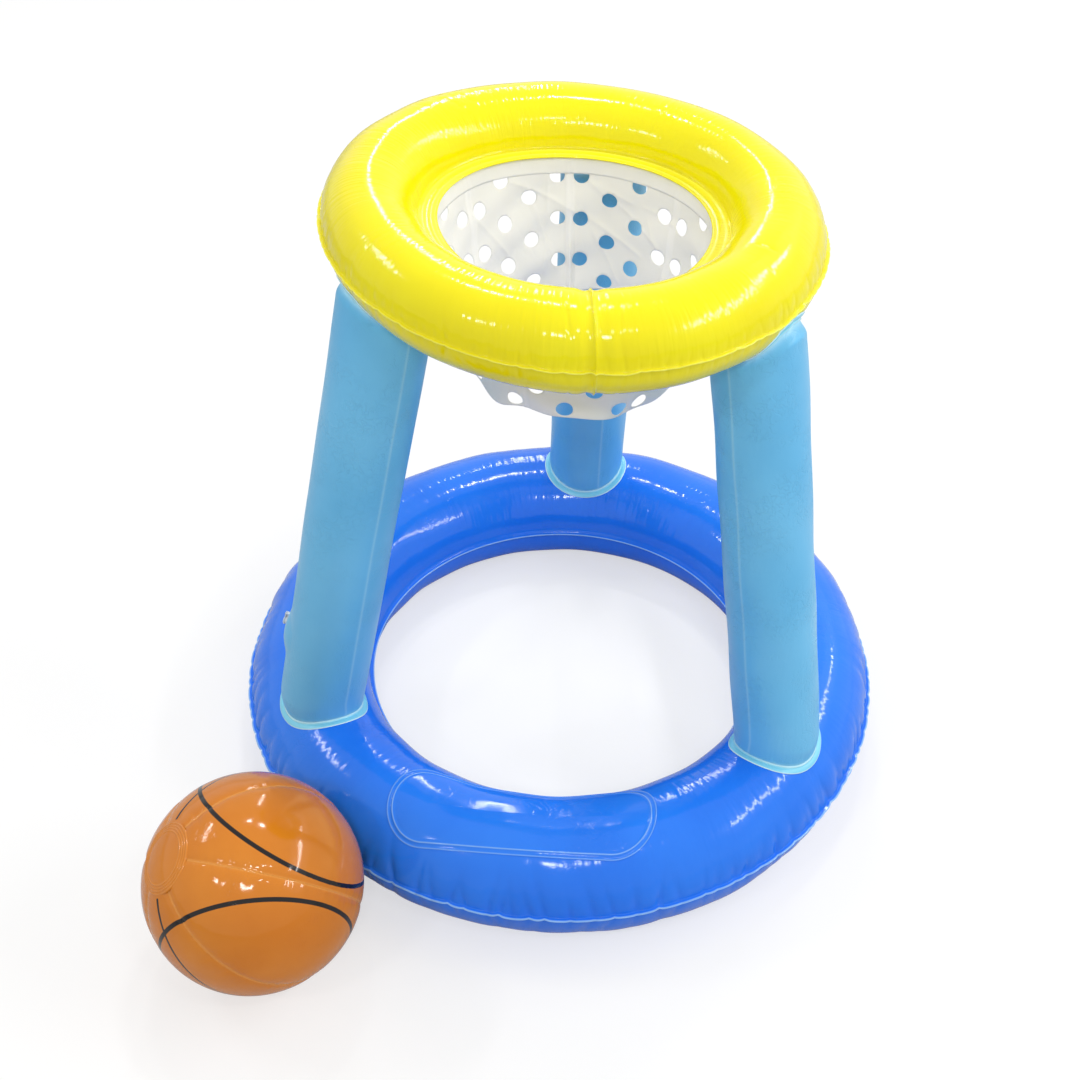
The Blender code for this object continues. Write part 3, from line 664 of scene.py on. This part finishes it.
def rim_rise(turn, angle):
    """How far the rim's film stands out from a true tube. Angle 0 is the outer seam."""
    rise = RIM_PILLOW + uneven(rim_size, rim_row, rim_waves, turn, angle, 0.4, 0.006, 0.03)
    reach = RIM_RING_RADIUS + RIM_TUBE_RADIUS * np.cos(angle)
    aside = short_way(turn - CROSS_WELD) * reach
    # The weld across the tube is a ridge between two valleys.
    weld = 0.0022 * hill(aside, 0.0012)
    weld -= 0.0024 * hill(aside + 0.007, 0.0060) + 0.0018 * hill(aside - 0.006, 0.0060)
    weld *= eased((math.pi - angle) / 0.5)
    for degrees, middle, length, slant, depth in RIM_WRINKLES:
        down = (angle - math.radians(middle)) * RIM_TUBE_RADIUS
        beside = short_way(turn - math.radians(degrees)) * reach + slant * down
        weld -= depth / 1000 * hill(beside, 0.0022) * hill(down, length / 2000, 4)
    return rise + weld


def rim_inside(centres):
    """For face directions: the nearest points of the leaning rim's centre line."""
    turn = polar(centres - (*LEAN_SHIFT, 0))[1]
    return lean(at_polar(RIM_RING_RADIUS, turn, RIM_LEVEL))


# A stopper's hinge lies this far beside its valve's middle, and this high over its foot.
VALVE_HINGE_REACH = 0.0128
VALVE_STEM_HEIGHT = 0.0080
VALVE_SEAT_RADIUS = 0.016
VALVE_SEAT_BLEND = 0.030


def seat_of(name):
    """A valve's place on its film, and its three axes, from its hinge and its round foot."""
    joint = next(j for j in frame["joints"] if j["name"] == f"{name}_stopper_hinge")
    hinge, across = Vector(joint["pos_m"]), Vector(joint["axis"]).normalized()
    areas = {}
    for face in frame["nodes"][f"{name}_valve_body"].data.polygons:
        key = tuple(round(c, 2) for c in face.normal)
        areas[key] = areas.get(key, 0) + face.area
    outward = Vector(max(areas, key=areas.get)).normalized()
    low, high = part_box(f"{name}_valve_body")
    if outward.dot(hinge - (low + high) / 2) < 0:
        outward.negate()
    outward = (outward - across * outward.dot(across)).normalized()
    along = across.cross(outward)
    seat = Matrix((along, across, outward)).transposed().to_4x4()
    seat.translation = hinge - along * VALVE_HINGE_REACH - outward * VALVE_STEM_HEIGHT
    return seat


def meet_valve(points, name):
    """Draws the film smoothly to the flat underside of a valve's foot."""
    seat = seat_of(name)
    axes, place = np.array(seat.to_3x3()), np.array(seat.translation - HOOP)
    local = (points - place) @ axes
    aside = np.hypot(local[:, 0], local[:, 1])
    share = 1 - eased((aside - VALVE_SEAT_RADIUS) / VALVE_SEAT_BLEND)
    share *= np.abs(local[:, 2]) < 0.02
    local[:, 2] += (-0.0001 - local[:, 2]) * share
    return local @ axes.T + place


vinyl(
    "yellow_vinyl", (243, 233, 0), (239, 225, 0), (252, 248, 90), 0.11,
    (0.030, 0.22), (0.014, 0.14, 0.3), (0.0075, 0.80), round_the_ring,
)
rim_outer_lip = [RIM_OUTER_LIP * share for share in (1, 0.6, 0.25)]
flange_rows = (0.08, 0.2, 0.26, 0.32, 0.5, 0.62, 0.68, 0.74, 0.9, 1)
rim_inner_lip = [RIM_INNER_LIP * share for share in flange_rows]
for side, half in ((1, "upper"), (-1, "lower")):
    mesh, turn, reach, height, angle = half_tube(
        f"rim_{half}_film", rim_size, side, rim_outer_lip, rim_inner_lip, RIM_STEPS, 1.2
    )
    # More of the steps lie near the weld across the tube.
    turn = turn - 0.5 * np.sin(turn - CROSS_WELD)
    rise = rim_rise(turn, angle)
    flange = np.clip((-reach - RIM_TUBE_RADIUS) / RIM_INNER_LIP, 0, 1)
    outer_lip = np.clip((reach - RIM_TUBE_RADIUS - 0.0022) / 0.0008, 0, 1)
    rise = rise * (flange == 0)
    reach = RIM_RING_RADIUS + reach + rise * np.cos(angle)
    height = RIM_LEVEL + height + side * rise * np.sin(angle)
    height += seam_wave(rim_row, turn, RIM_SEAM_WAVE) * np.exp(-RIM_TUBE_RADIUS * angle / 0.010)
    # Two beads of weld run round the flange.
    beads = (hill(flange - 0.26, 0.05) + hill(flange - 0.68, 0.05)) * (flange > 0)
    height += side * 0.0007 * beads
    points = lean(at_polar(reach, turn, height))
    if side < 0:
        points = meet_valve(points, "rim")
    put_points(mesh, points, rim_inside)
    # The outer lip's edge is painted pale, a painted highlight along the seam; the flange and its
    # two beads are drawn paler.
    mark_welds_and_highlights(mesh, np.maximum(outer_lip, 0.7 * beads + 0.15 * (flange > 0)))
    add_film(mesh, "yellow_vinyl", [f"rim_{half}_skin"])

# The base's upper film, made above, meets its valve in the same way.
base_upper = bpy.data.meshes["base_upper_film"]
points = points_of(base_upper) - np.array(HOOP)
put_points(base_upper, meet_valve(points, "base"), base_inside)


# Each leg is its own closed chamber of satin pale blue film. A round patch closes each end
# and is welded to the ring; its edge shows round the leg as a pale collar with a bead.
# Each leg: the turn of its foot, the turn of its head and that one's angle round the rim's
# tube, and the side, counted from the hoop's middle, that its lengthwise weld is on.
LEGS = {"back": (90, 87, -76, -9), "left": (210, 212, -89, 28), "right": (330, 332.5, -75, -30)}
LEG_RADIUS = 0.0575
LEG_FOOT_ANGLE = math.radians(93)
LEG_SIDES = 128
LEG_ROWS = 150
LEG_WELD_RIDGE = 0.0004
LEG_END_INSET = 0.0035
LEG_END_ROUND = 0.010
LEG_FOOT_BLEND = 0.030
LEG_HEAD_BLEND = 0.014
PATCH_RISE = 0.0012
COLLAR_BEAD_RADIUS = 0.0558
COLLAR_EDGE_RADIUS = 0.0645

vinyl(
    "leg_vinyl", (114, 196, 242), (103, 188, 237), (164, 220, 247), 0.32,
    (0.030, 0.30), (0.008, 0.36, 0.60), (0.006, 0.22), up_the_tube,
)
vinyl(
    "collar_vinyl", (140, 220, 244), (128, 212, 240), (210, 244, 252), 0.25,
    (0.020, 0.10), (0.008, 0.05, 0.2),
)

# Points of a round patch, in mm: how far from its middle, and how high over the ring.
collar_chain = [
    (0, 0.3), (30, 0.3), (52, 0.6), (53.5, 1.4), (54.6, 2.4), (55.8, 2.7), (56.9, 2.2),
    (57.6, 1.1), (58.4, 0.8), (59.2, 1.2), (61.5, 1.4), (64, 1.3), (65, 1.0), (65.5, 0.2),
]


def ring_place(size, azimuth, angle):
    """One point on a ring of tube."""
    ring, tube, level = size
    return at_polar(ring + tube * math.cos(angle), azimuth, level + tube * math.sin(angle))[0]


for place, (foot_turn, *head_degrees, weld_side) in LEGS.items():
    azimuth = math.radians(foot_turn)
    foot = ring_place(base_size, azimuth, LEG_FOOT_ANGLE)
    head_azimuth, head_angle = np.radians(head_degrees)
    head = ring_place(rim_size, head_azimuth, head_angle)
    # The leg's own directions: up it, along the ring, and in towards the hoop's middle.
    ringwise = (-math.sin(azimuth), math.cos(azimuth), 0)
    up = (head - foot) / np.linalg.norm(head - foot)
    inward = np.cross(up, ringwise)
    inward *= -np.sign(inward @ foot) / np.linalg.norm(inward)
    along = np.cross(up, inward)
    along *= np.sign(along @ ringwise)
    chain = [(1, i / LEG_ROWS) for i in range(LEG_ROWS + 1)]
    mesh = chain_mesh(f"leg_{place}_film", chain, LEG_SIDES)
    _, turned, share = polar(points_of(mesh))
    # More of the rows lie near the two ends.
    share = share - 0.125 * np.sin(math.tau * share)
    radial = np.sin(turned)[:, None] * along + np.cos(turned)[:, None] * inward
    end_radius = LEG_RADIUS - LEG_END_INSET
    ringward, inwards = end_radius * np.sin(turned), end_radius * np.cos(turned)
    foot_curve = laid_on(
        *base_size, base_rise, azimuth, LEG_FOOT_ANGLE, ringward, inwards, PATCH_RISE
    )
    head_curve = laid_on(
        *rim_size, rim_rise, head_azimuth, head_angle, ringward, -inwards, PATCH_RISE
    )
    lowest, highest = (foot_curve - foot) @ up, (head_curve - foot) @ up
    distance = lowest + (highest - lowest) * share
    from_foot, from_head = distance - lowest, highest - distance
    # The film is drawn in round both ends, as a quarter of a circle.
    bent = [np.clip(1 - from_end / LEG_END_ROUND, 0, 1) for from_end in (from_foot, from_head)]
    drawn_in = sum(1 - np.sqrt(1 - end**2) for end in bent)
    # Pleats run up and down the film from both ends.
    leg_rng = np.random.default_rng(foot_turn)
    pleats = row_of_puckers(
        leg_rng, math.tau * LEG_RADIUS, spacing=(0.008, 0.022), depth=(0.0002, 0.0011),
        width=(0.002, 0.004), reach=(0.008, 0.030),
    )
    around = turned % math.tau * LEG_RADIUS
    pleated = pucker_depth(pleats, around, from_foot)
    pleated += pucker_depth(pleats, around[::-1], from_head)
    pleated *= eased(from_foot / 0.006) * eased(from_head / 0.006)
    slow = wave_height(film_waves(leg_rng, (1, 5), 8, 0.00022), turned, distance / 0.05)
    # One lengthwise weld closes the film into a tube, with a low ridge; the thin pale line along
    # it is a painted highlight.
    from_weld = turned - weld_side * math.tau / LEG_SIDES
    lengthwise = hill(short_way(from_weld) * LEG_RADIUS, 0.0016)
    radius = LEG_RADIUS - LEG_END_INSET * drawn_in - pleated + LEG_WELD_RIDGE * lengthwise
    radius += slow * (1 - np.clip(drawn_in, 0, 1))
    points = foot + distance[:, None] * up + radial * radius[:, None]
    for curve, from_end, end, blend in (
        (foot_curve, from_foot, lowest, LEG_FOOT_BLEND),
        (head_curve, from_head, highest, LEG_HEAD_BLEND),
    ):
        straight = foot + end[:, None] * up + radial * end_radius
        points += (curve - straight) * (1 - eased(from_end / blend))[:, None]
    points = meet_valve(lean(points), f"leg_{place}")
    put_points(mesh, points, lambda centres: foot + ((centres - foot) @ up)[:, None] * up)
    # Both ends and the lengthwise weld take the pale weld colour: painted highlights on the
    # drawn-in ends and on the weld's ridge.
    mark_welds_and_highlights(mesh, hill(from_foot, 0.004) + hill(from_head, 0.004) + 0.55 * lengthwise)
    add_film(mesh, "leg_vinyl", [f"leg_{place}_tube"])

    for end, size, rise, inside, turned_to, angle in (
        ("foot", base_size, base_rise, base_inside, azimuth, LEG_FOOT_ANGLE),
        ("head", rim_size, rim_rise, rim_inside, head_azimuth, head_angle),
    ):
        mesh = chain_mesh(f"leg_{place}_{end}_collar", collar_chain, LEG_SIDES)
        x, y, height = points_of(mesh).T / 1000
        points = lean(laid_on(*size, rise, turned_to, angle, y, x, height))
        put_points(mesh, points, inside)
        radius = np.hypot(x, y)
        # The bead's pale line is a painted highlight; past the edge radius the collar is drawn
        # paler.
        bead_highlight = hill(radius - COLLAR_BEAD_RADIUS, 0.0012)
        mark_welds_and_highlights(mesh, bead_highlight + (radius > COLLAR_EDGE_RADIUS))
        add_film(mesh, "collar_vinyl", [f"leg_{place}_{end}_patch"], thickness=0)


# The net is seven panels of thin white film with punched holes, welded edge to edge with
# upright double lines. It hangs from a plain band that is caught under the rim's flange.
NET_HEIGHT = 0.178
NET_TOP_RADIUS = 0.1665
NET_MOUTH_RADIUS = 0.140
NET_TOP_LEVEL = RIM_LEVEL - (WELD_GAP / 2 + FILM) - WELD_GAP - FILM
NET_PANELS = 7
NET_PANEL_TURN = math.tau / NET_PANELS
NET_BACK_WELD = math.radians(98)
NET_SWING = -0.002
BAND_HEIGHT = 0.022
BAND_LAP = 0.007
HOLE_RADIUS = 0.010
HOLE_ROWS = 6
HOLES_PER_ROW = 2
HOLE_ROW_PITCH = 0.028
FIRST_ROW_DROP = 0.025
EDGE_HOLE = math.radians(5)
HOLE_TURN = math.radians(26.9)
NET_STEPS = 560
NET_ROWS = 76


def net_radius(drop):
    """The cone's radius this far down it."""
    return NET_TOP_RADIUS - (NET_TOP_RADIUS - NET_MOUTH_RADIUS) / NET_HEIGHT * drop


net_waves = [
    (rng.integers(3, 12), rng.uniform(-6, 6), rng.uniform(0, 6.3), rng.normal(0, 0.00055))
    for _ in range(14)
]
# Sharp creases in the net: the turn and the drop in mm of both ends, and depth in mm.
NET_CREASES = [
    (132, 20, 60, 120, 1.2), (120, 30, 104, 160, 0.8), (92, 30, 66, 52, 1.2),
    (92, 28, 50, 100, 0.9), (66, 50, 40, 60, 0.9), (62, 60, 44, 150, 0.9),
    (150, 50, 128, 130, 0.8), (160, 30, 176, 140, 0.8), (20, 40, 34, 150, 0.8),
    (88, 90, 70, 170, 0.7), (250, 30, 280, 150, 0.8), (300, 40, 325, 140, 0.8),
    (220, 50, 236, 160, 0.8), (345, 30, 352, 150, 0.8), (108, 20, 112, 165, 0.7),
]
# Where the lower edge sags: turn, half width, depth, and where down the net it begins.
NET_SAGS = [(237, 11, 0.008, 0.12), (300, 10, 0.007, 0.12), (155, 34, 0.006, 0.03)]


def from_net_weld(turn):
    """How far round the net it is to the nearest weld between two panels."""
    aside = turn - NET_BACK_WELD + NET_PANEL_TURN / 2
    return (aside % NET_PANEL_TURN - NET_PANEL_TURN / 2) * NET_TOP_RADIUS


def net_rise(turn, drop):
    """How far the net's film stands out from a true cone."""
    loose = eased(drop / 0.06)
    slack = wave_height(net_waves, turn, drop / 0.05)
    aside = from_net_weld(turn)
    weld = 0.0006 * (hill(aside - 0.004, 0.0012) + hill(aside + 0.004, 0.0012))
    back = short_way(turn - NET_BACK_WELD) * NET_TOP_RADIUS
    fold = 0.0100 * hill(back, 0.0035) * eased((drop - 0.04) / 0.12)
    creased = 0
    for turn_1, drop_1, turn_2, drop_2, depth in NET_CREASES:
        start = short_way(turn - math.radians(turn_1)) * NET_TOP_RADIUS
        across = math.radians(turn_2 - turn_1) * NET_TOP_RADIUS
        fall = (drop_2 - drop_1) / 1000
        length = math.hypot(across, fall)
        down = drop - drop_1 / 1000
        walked = (start * across + down * fall) / length
        beside = np.abs(start * fall - down * across) / length
        ends = eased(walked / 0.015) * eased((length - walked) / 0.015)
        creased = creased + 0.002 * depth * ends * np.exp(-beside / 0.0024)
    lip = 0.0018 * np.cos(9 * turn + 0.6) * np.clip(drop / NET_HEIGHT, 0, 1) ** 3
    return slack * (0.25 + loose) + lip - weld - fold - creased * loose


vinyl(
    "white_vinyl", (247, 246, 243), (241, 240, 236), (250, 249, 247), 0.36,
    (0.040, 0.40), (0.030, 0.30, 0.4),
)
body_top = BAND_HEIGHT - BAND_LAP
body_height = NET_HEIGHT - body_top
drops = [body_top + body_height * i / NET_ROWS for i in range(NET_ROWS + 1)]
mesh = chain_mesh("net_film", [(net_radius(drop), -drop) for drop in drops], NET_STEPS)
# Each hole's turn and drop. Every second row starts half a hole further round.
holes = []
for panel in range(-3, 4):
    first = NET_BACK_WELD - NET_PANEL_TURN * panel - EDGE_HOLE
    for row in range(HOLE_ROWS):
        for column in range(HOLES_PER_ROW):
            turn = first - HOLE_TURN * (column + (row + panel) % 2 / 2)
            holes.append((turn, FIRST_ROW_DROP + row * HOLE_ROW_PITCH))
holes = np.array(holes)


def nearest_hole(turn, drop):
    """For each place on the net: distance to the nearest hole's middle, along and down."""
    along = short_way(turn[:, None] - holes[:, 0]) * net_radius(drop)[:, None]
    down = drop[:, None] - holes[:, 1]
    nearest = np.hypot(along, down).argmin(axis=1)
    pick = np.arange(len(turn)), nearest
    return along[pick], down[pick]


bm = bmesh.new()
bm.from_mesh(mesh)
bm.faces.ensure_lookup_table()
_, turn, height = polar(np.array([face.calc_center_median()[:] for face in bm.faces]))
along, down = nearest_hole(turn, -height)
punched = [bm.faces[i] for i in np.flatnonzero(np.hypot(along, down) < HOLE_RADIUS)]
bmesh.ops.delete(bm, geom=punched, context="FACES")
bm.to_mesh(mesh)
on_edge = np.array([vert.is_boundary for vert in bm.verts])
bm.free()
# The points left on a hole's edge are drawn out to a true circle.
_, turn, height = polar(points_of(mesh))
drop = -height
along, down = nearest_hole(turn, drop)
away = np.hypot(along, down)
snapped = on_edge & (away < 1.4 * HOLE_RADIUS)
snapped &= (drop > body_top + 0.0001) & (drop < NET_HEIGHT - 0.0001)
scale = np.where(snapped, HOLE_RADIUS / np.maximum(away, 0.001) - 1, 0)
turn = turn + along * scale / net_radius(drop)
drop = drop + down * scale
reach = net_radius(drop) + FILM + net_rise(turn, drop)
# The lower edge is wavy, and sags in three places.
hem = 0.0016 * np.cos(13 * turn) * np.clip(drop / NET_HEIGHT, 0, 1) ** 6
for degrees, width, sag, top in NET_SAGS:
    lobe = hill(short_way(turn - math.radians(degrees)), math.radians(width))
    hem -= sag * lobe * eased((drop - top) / (NET_HEIGHT - top))


def hang(mesh, reach, turn, drop, hem=0):
    """Puts the net's film under the leaning rim, its faces turned out from its middle."""
    points = lean(at_polar(reach, turn, NET_TOP_LEVEL - drop + hem), 1)
    points[:, 1] += NET_SWING * eased(drop / NET_HEIGHT)
    put_points(mesh, points, lambda centres: (*LEAN_SHIFT, 0) + centres * (0, 0, 1))


hang(mesh, reach, turn, drop, hem)
mark_welds_and_highlights(mesh, (np.abs(from_net_weld(turn)) < 0.006) * 0.7)
panels = [f"net_panel_{number + 1}" for number in range(NET_PANELS)]
net = add_film(mesh, "white_vinyl", panels)

# The band turns outward at its top, where it lies under the flange.
band_chain = [
    (RIM_RING_RADIUS - RIM_TUBE_RADIUS - 0.001, 0), (NET_TOP_RADIUS + 0.004, 0),
    (NET_TOP_RADIUS + 0.001, -0.0006),
]
band_chain += [(net_radius(BAND_HEIGHT * i / 8), -BAND_HEIGHT * i / 8) for i in range(1, 9)]
mesh = chain_mesh("net_band_film", band_chain, NET_STEPS)
reach, turn, height = polar(points_of(mesh))
drop = -height
reach = reach + np.where(drop > 0.001, net_rise(turn, drop) - 0.0005, 0)
hang(mesh, reach, turn, drop)
mark_welds_and_highlights(mesh, 0.6 * hill(drop - BAND_HEIGHT, 0.0015))
band = add_film(mesh, "white_vinyl", ["net_band"])


# The ball is six gores of orange film, welded edge to edge, with a round disc welded over
# each pole. Printed black lines run round it, as on any basketball.
BALL_RADIUS = 0.1375
BALL_GORES = 6
GORE_PHASE = math.radians(20.1)
GORE_SPAN = math.tau / BALL_GORES
GORE_ROWS = 110
GORE_COLUMNS = 52
DISC_RADIUS = 0.046
DISC_LAP = 0.006
DISC_ROWS = 60
DISC_COLUMNS = 144
DISC_WELDS = (0.0335, 0.0370, 0.0405, 0.0440)
BALL_PILLOW = 0.0012
ball_nodes = [f"ball_gore_{n + 1}" for n in range(BALL_GORES)]
boxes = [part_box(node) for node in ball_nodes + ["ball_front_disc", "ball_back_disc"]]
BALL = Vector([(min(b[0][i] for b in boxes) + max(b[1][i] for b in boxes)) / 2 for i in range(3)])
BALL.z = BALL_RADIUS
ball_axes = np.array(
    Matrix.Rotation(math.radians(-155.8), 3, "Z") @ Matrix.Rotation(math.radians(47.6), 3, "Y")
)
ball_seam = math.pi * BALL_RADIUS
ball_row = row_of_puckers(
    rng, ball_seam, spacing=(0.006, 0.013), depth=(0.0005, 0.0017), width=(0.0016, 0.0026),
    reach=(0.005, 0.016),
)


def ball_film_radius(longitude, colatitude):
    """The blown-up film: full in the middle of a gore, drawn in and puckered at its seams."""
    number = (longitude - GORE_PHASE) / GORE_SPAN
    across = np.abs((number + 0.5) % 1 - 0.5) * GORE_SPAN
    off = across * BALL_RADIUS * np.sin(colatitude)
    along = (colatitude * BALL_RADIUS + np.round(number) * 0.037) % ball_seam
    seam = 0.0016 * hill(off, 0.0045, 1.3)
    puckers = pucker_depth(ball_row, along, off) * eased(off / 0.0025)
    return BALL_RADIUS + BALL_PILLOW - seam - puckers


# The ball's printed lines lie in planes: direction, share of the radius, and line width.
# The first plane goes through the poles, and its line stops at the discs.
BALL_LINES = [
    ((-math.sin(math.radians(52.2)), math.cos(math.radians(52.2)), 0), 0, 0.0040),
    ((-0.9211, -0.3859, -0.0524), 0.523, 0.0048),
    ((0.2612, 0.9646, -0.0367), 0.544, 0.0048),
]


def ball_lines(tree, place, orange):
    """The orange colour with the black lines on it."""
    masks = []
    for normal, distance, width in BALL_LINES:
        normal = tuple(ball_axes @ normal / np.linalg.norm(normal))
        height = vector_maths(tree, "DOT_PRODUCT", {0: place, 1: normal}, "Value")
        gap = maths(tree, "ABSOLUTE", maths(tree, "SUBTRACT", height, distance * BALL_RADIUS))
        line = spread(tree, gap, width / 2 - 0.0003, width / 2 + 0.0003, 1, 0)
        if distance == 0:
            pole = tuple(ball_axes[:, 2])
            height = vector_maths(tree, "DOT_PRODUCT", {0: place, 1: pole}, "Value")
            disc_height = BALL_RADIUS * math.cos(DISC_RADIUS / BALL_RADIUS)
            gores = maths(tree, "LESS_THAN", maths(tree, "ABSOLUTE", height), disc_height)
            line = maths(tree, "MULTIPLY", line, gores)
        masks.append(line)
    mask = maths(tree, "MAXIMUM", maths(tree, "MAXIMUM", masks[0], masks[1]), masks[2])
    return mixed(tree, mask, orange, srgb(24, 20, 20))


def on_ball(mesh, radius, longitude, colatitude, valve=None):
    """Puts points on the turned ball, its faces turned out from its middle."""
    flat = at_polar(radius * np.sin(colatitude), longitude, radius * np.cos(colatitude))
    middle = np.array(BALL - HOOP)
    points = flat @ ball_axes.T + middle
    if valve:
        points = meet_valve(points, valve)
        points[:, 2] = np.maximum(points[:, 2], 0)
    put_points(mesh, points, lambda centres: middle)


vinyl(
    "orange_vinyl", (216, 131, 36), (204, 117, 24), (226, 150, 66), 0.10,
    (0.022, 0.30), (0.010, 0.16, 0.4), middle=BALL, printed=ball_lines,
)
hole_angle = (DISC_RADIUS - DISC_LAP) / BALL_RADIUS
gore_angle = math.pi - 2 * hole_angle
gore_angles = [hole_angle + gore_angle * i / GORE_ROWS for i in range(GORE_ROWS + 1)]
for number, node in enumerate(ball_nodes):
    chain = [(math.sin(a), math.cos(a)) for a in gore_angles]
    mesh = chain_mesh(f"ball_gore_film_{number + 1}", chain, GORE_COLUMNS, GORE_SPAN)
    _, turn, height = polar(points_of(mesh))
    # More of the columns lie near the gore's two edges.
    share = turn / GORE_SPAN
    share = share - 0.09 * np.sin(math.tau * share)
    longitude = GORE_PHASE + (number + share) * GORE_SPAN
    colatitude = np.arccos(np.clip(height, -1, 1))
    on_ball(mesh, ball_film_radius(longitude, colatitude), longitude, colatitude, "ball")
    edge = np.minimum(share, 1 - share) * GORE_SPAN * BALL_RADIUS * np.sin(colatitude)
    mark_welds_and_highlights(mesh, hill(edge, 0.0016))
    add_film(mesh, "orange_vinyl", [node], "ball")

disc_chain = [(i / DISC_ROWS * DISC_RADIUS, 0) for i in range(DISC_ROWS + 1)]
for side, pole in (("front", 0), ("back", math.pi)):
    mesh = chain_mesh(f"ball_{side}_film", disc_chain, DISC_COLUMNS)
    reach, turn, _ = polar(points_of(mesh))
    rings = sum(hill(reach - ring, 0.0008) for ring in DISC_WELDS)
    radius = BALL_RADIUS + BALL_PILLOW + 0.0009 * rings - 0.0006 * eased((reach - 0.0448) / 0.0012)
    radius += 0.0003 * np.cos(9 * turn) * eased((reach - 0.028) / 0.01)
    on_ball(mesh, radius, turn, np.abs(pole - reach / BALL_RADIUS))
    # The weld rings are drawn paler, a painted highlight on their ridges.
    mark_welds_and_highlights(mesh, 0.5 * rings)
    add_film(mesh, "orange_vinyl", [f"ball_{side}_disc"], "ball")


# Each chamber has a soft moulded valve: a round foot welded over a hole in the film, a
# short stem with a lug beside it, and a stopper on a strap that bends at the lug's top.
VALVE_FOOT_RADIUS = 0.0145
VALVE_FOOT_THICKNESS = 0.0010
STEM_RADIUS = 0.0058
BORE_RADIUS = 0.0041
CAP_RADIUS = 0.0068
CAP_THICKNESS = 0.0014
PLUG_RADIUS = 0.0037
PLUG_TIP_RADIUS = 0.0031
PLUG_DEPTH = 0.0036
STRAP_WIDTH = 0.0050
STRAP_THICKNESS = 0.0012

vinyl(
    "valve_plastic", (214, 224, 232), (206, 217, 227), (225, 232, 238), 0.3,
    (0.004, 0.02), (0.003, 0.01, 0.2),
)


def round_edges(bm, edges, width):
    bmesh.ops.bevel(
        bm, geom=edges, offset=width, offset_type="OFFSET", affect="EDGES", segments=2,
        profile=0.5, material=-1,
    )


def moulded(name, chain, closed, low, high, seat, node, body):
    """A turned shape with a block at its side, both moulded in one, with rounded edges."""
    bm = bmesh.new()
    verts = [bm.verts.new((radius, 0, height)) for radius, height in chain]
    pairs = list(zip(verts, verts[1:])) + ([(verts[-1], verts[0])] if closed else [])
    edges = [bm.edges.new(pair) for pair in pairs]
    bmesh.ops.spin(
        bm, geom=verts + edges, axis=(0, 0, 1), cent=(0, 0, 0), angle=math.tau,
        steps=48, use_merge=True,
    )
    bmesh.ops.remove_doubles(bm, verts=bm.verts, dist=0.000002)
    bmesh.ops.recalc_face_normals(bm, faces=bm.faces)
    round_edges(bm, [edge for edge in bm.edges if edge.calc_face_angle(0) > 0.6], 0.0002)
    block = bmesh.ops.create_cube(bm, size=1)["verts"]
    for vert in block:
        vert.co = [high[i] if vert.co[i] > 0 else low[i] for i in range(3)]
    round_edges(bm, edges_of(block), 0.0003)
    bmesh.ops.transform(bm, matrix=seat, verts=bm.verts)
    add_film(finished(name, bm), "valve_plastic", [node], body, 0)


body_chain = [
    (BORE_RADIUS, VALVE_STEM_HEIGHT), (STEM_RADIUS, VALVE_STEM_HEIGHT),
    (STEM_RADIUS, VALVE_FOOT_THICKNESS), (VALVE_FOOT_RADIUS, VALVE_FOOT_THICKNESS),
    (VALVE_FOOT_RADIUS, 0), (BORE_RADIUS, 0),
]
cap_top = WELD_GAP + CAP_THICKNESS
stopper_chain = [
    (0, cap_top), (CAP_RADIUS, cap_top), (CAP_RADIUS, WELD_GAP), (PLUG_RADIUS, WELD_GAP),
    (PLUG_TIP_RADIUS, WELD_GAP - PLUG_DEPTH), (0, WELD_GAP - PLUG_DEPTH),
]
for name in ("base", "rim", "leg_back", "leg_left", "leg_right", "ball"):
    seat = seat_of(name)
    moulded(
        f"{name}_valve_moulding", body_chain, True,
        (VALVE_HINGE_REACH - STRAP_THICKNESS, -STRAP_WIDTH / 2, VALVE_FOOT_THICKNESS / 2),
        (VALVE_HINGE_REACH, STRAP_WIDTH / 2, VALVE_STEM_HEIGHT),
        seat, f"{name}_valve_body", "ball" if name == "ball" else "hoop",
    )
    moulded(
        f"{name}_stopper_moulding", stopper_chain, False,
        (CAP_RADIUS / 2, -STRAP_WIDTH / 2, WELD_GAP),
        (VALVE_HINGE_REACH, STRAP_WIDTH / 2, WELD_GAP + STRAP_THICKNESS),
        seat @ Matrix.Translation((0, 0, VALVE_STEM_HEIGHT)),
        f"{name}_valve_stopper", f"{name}_stopper",
    )
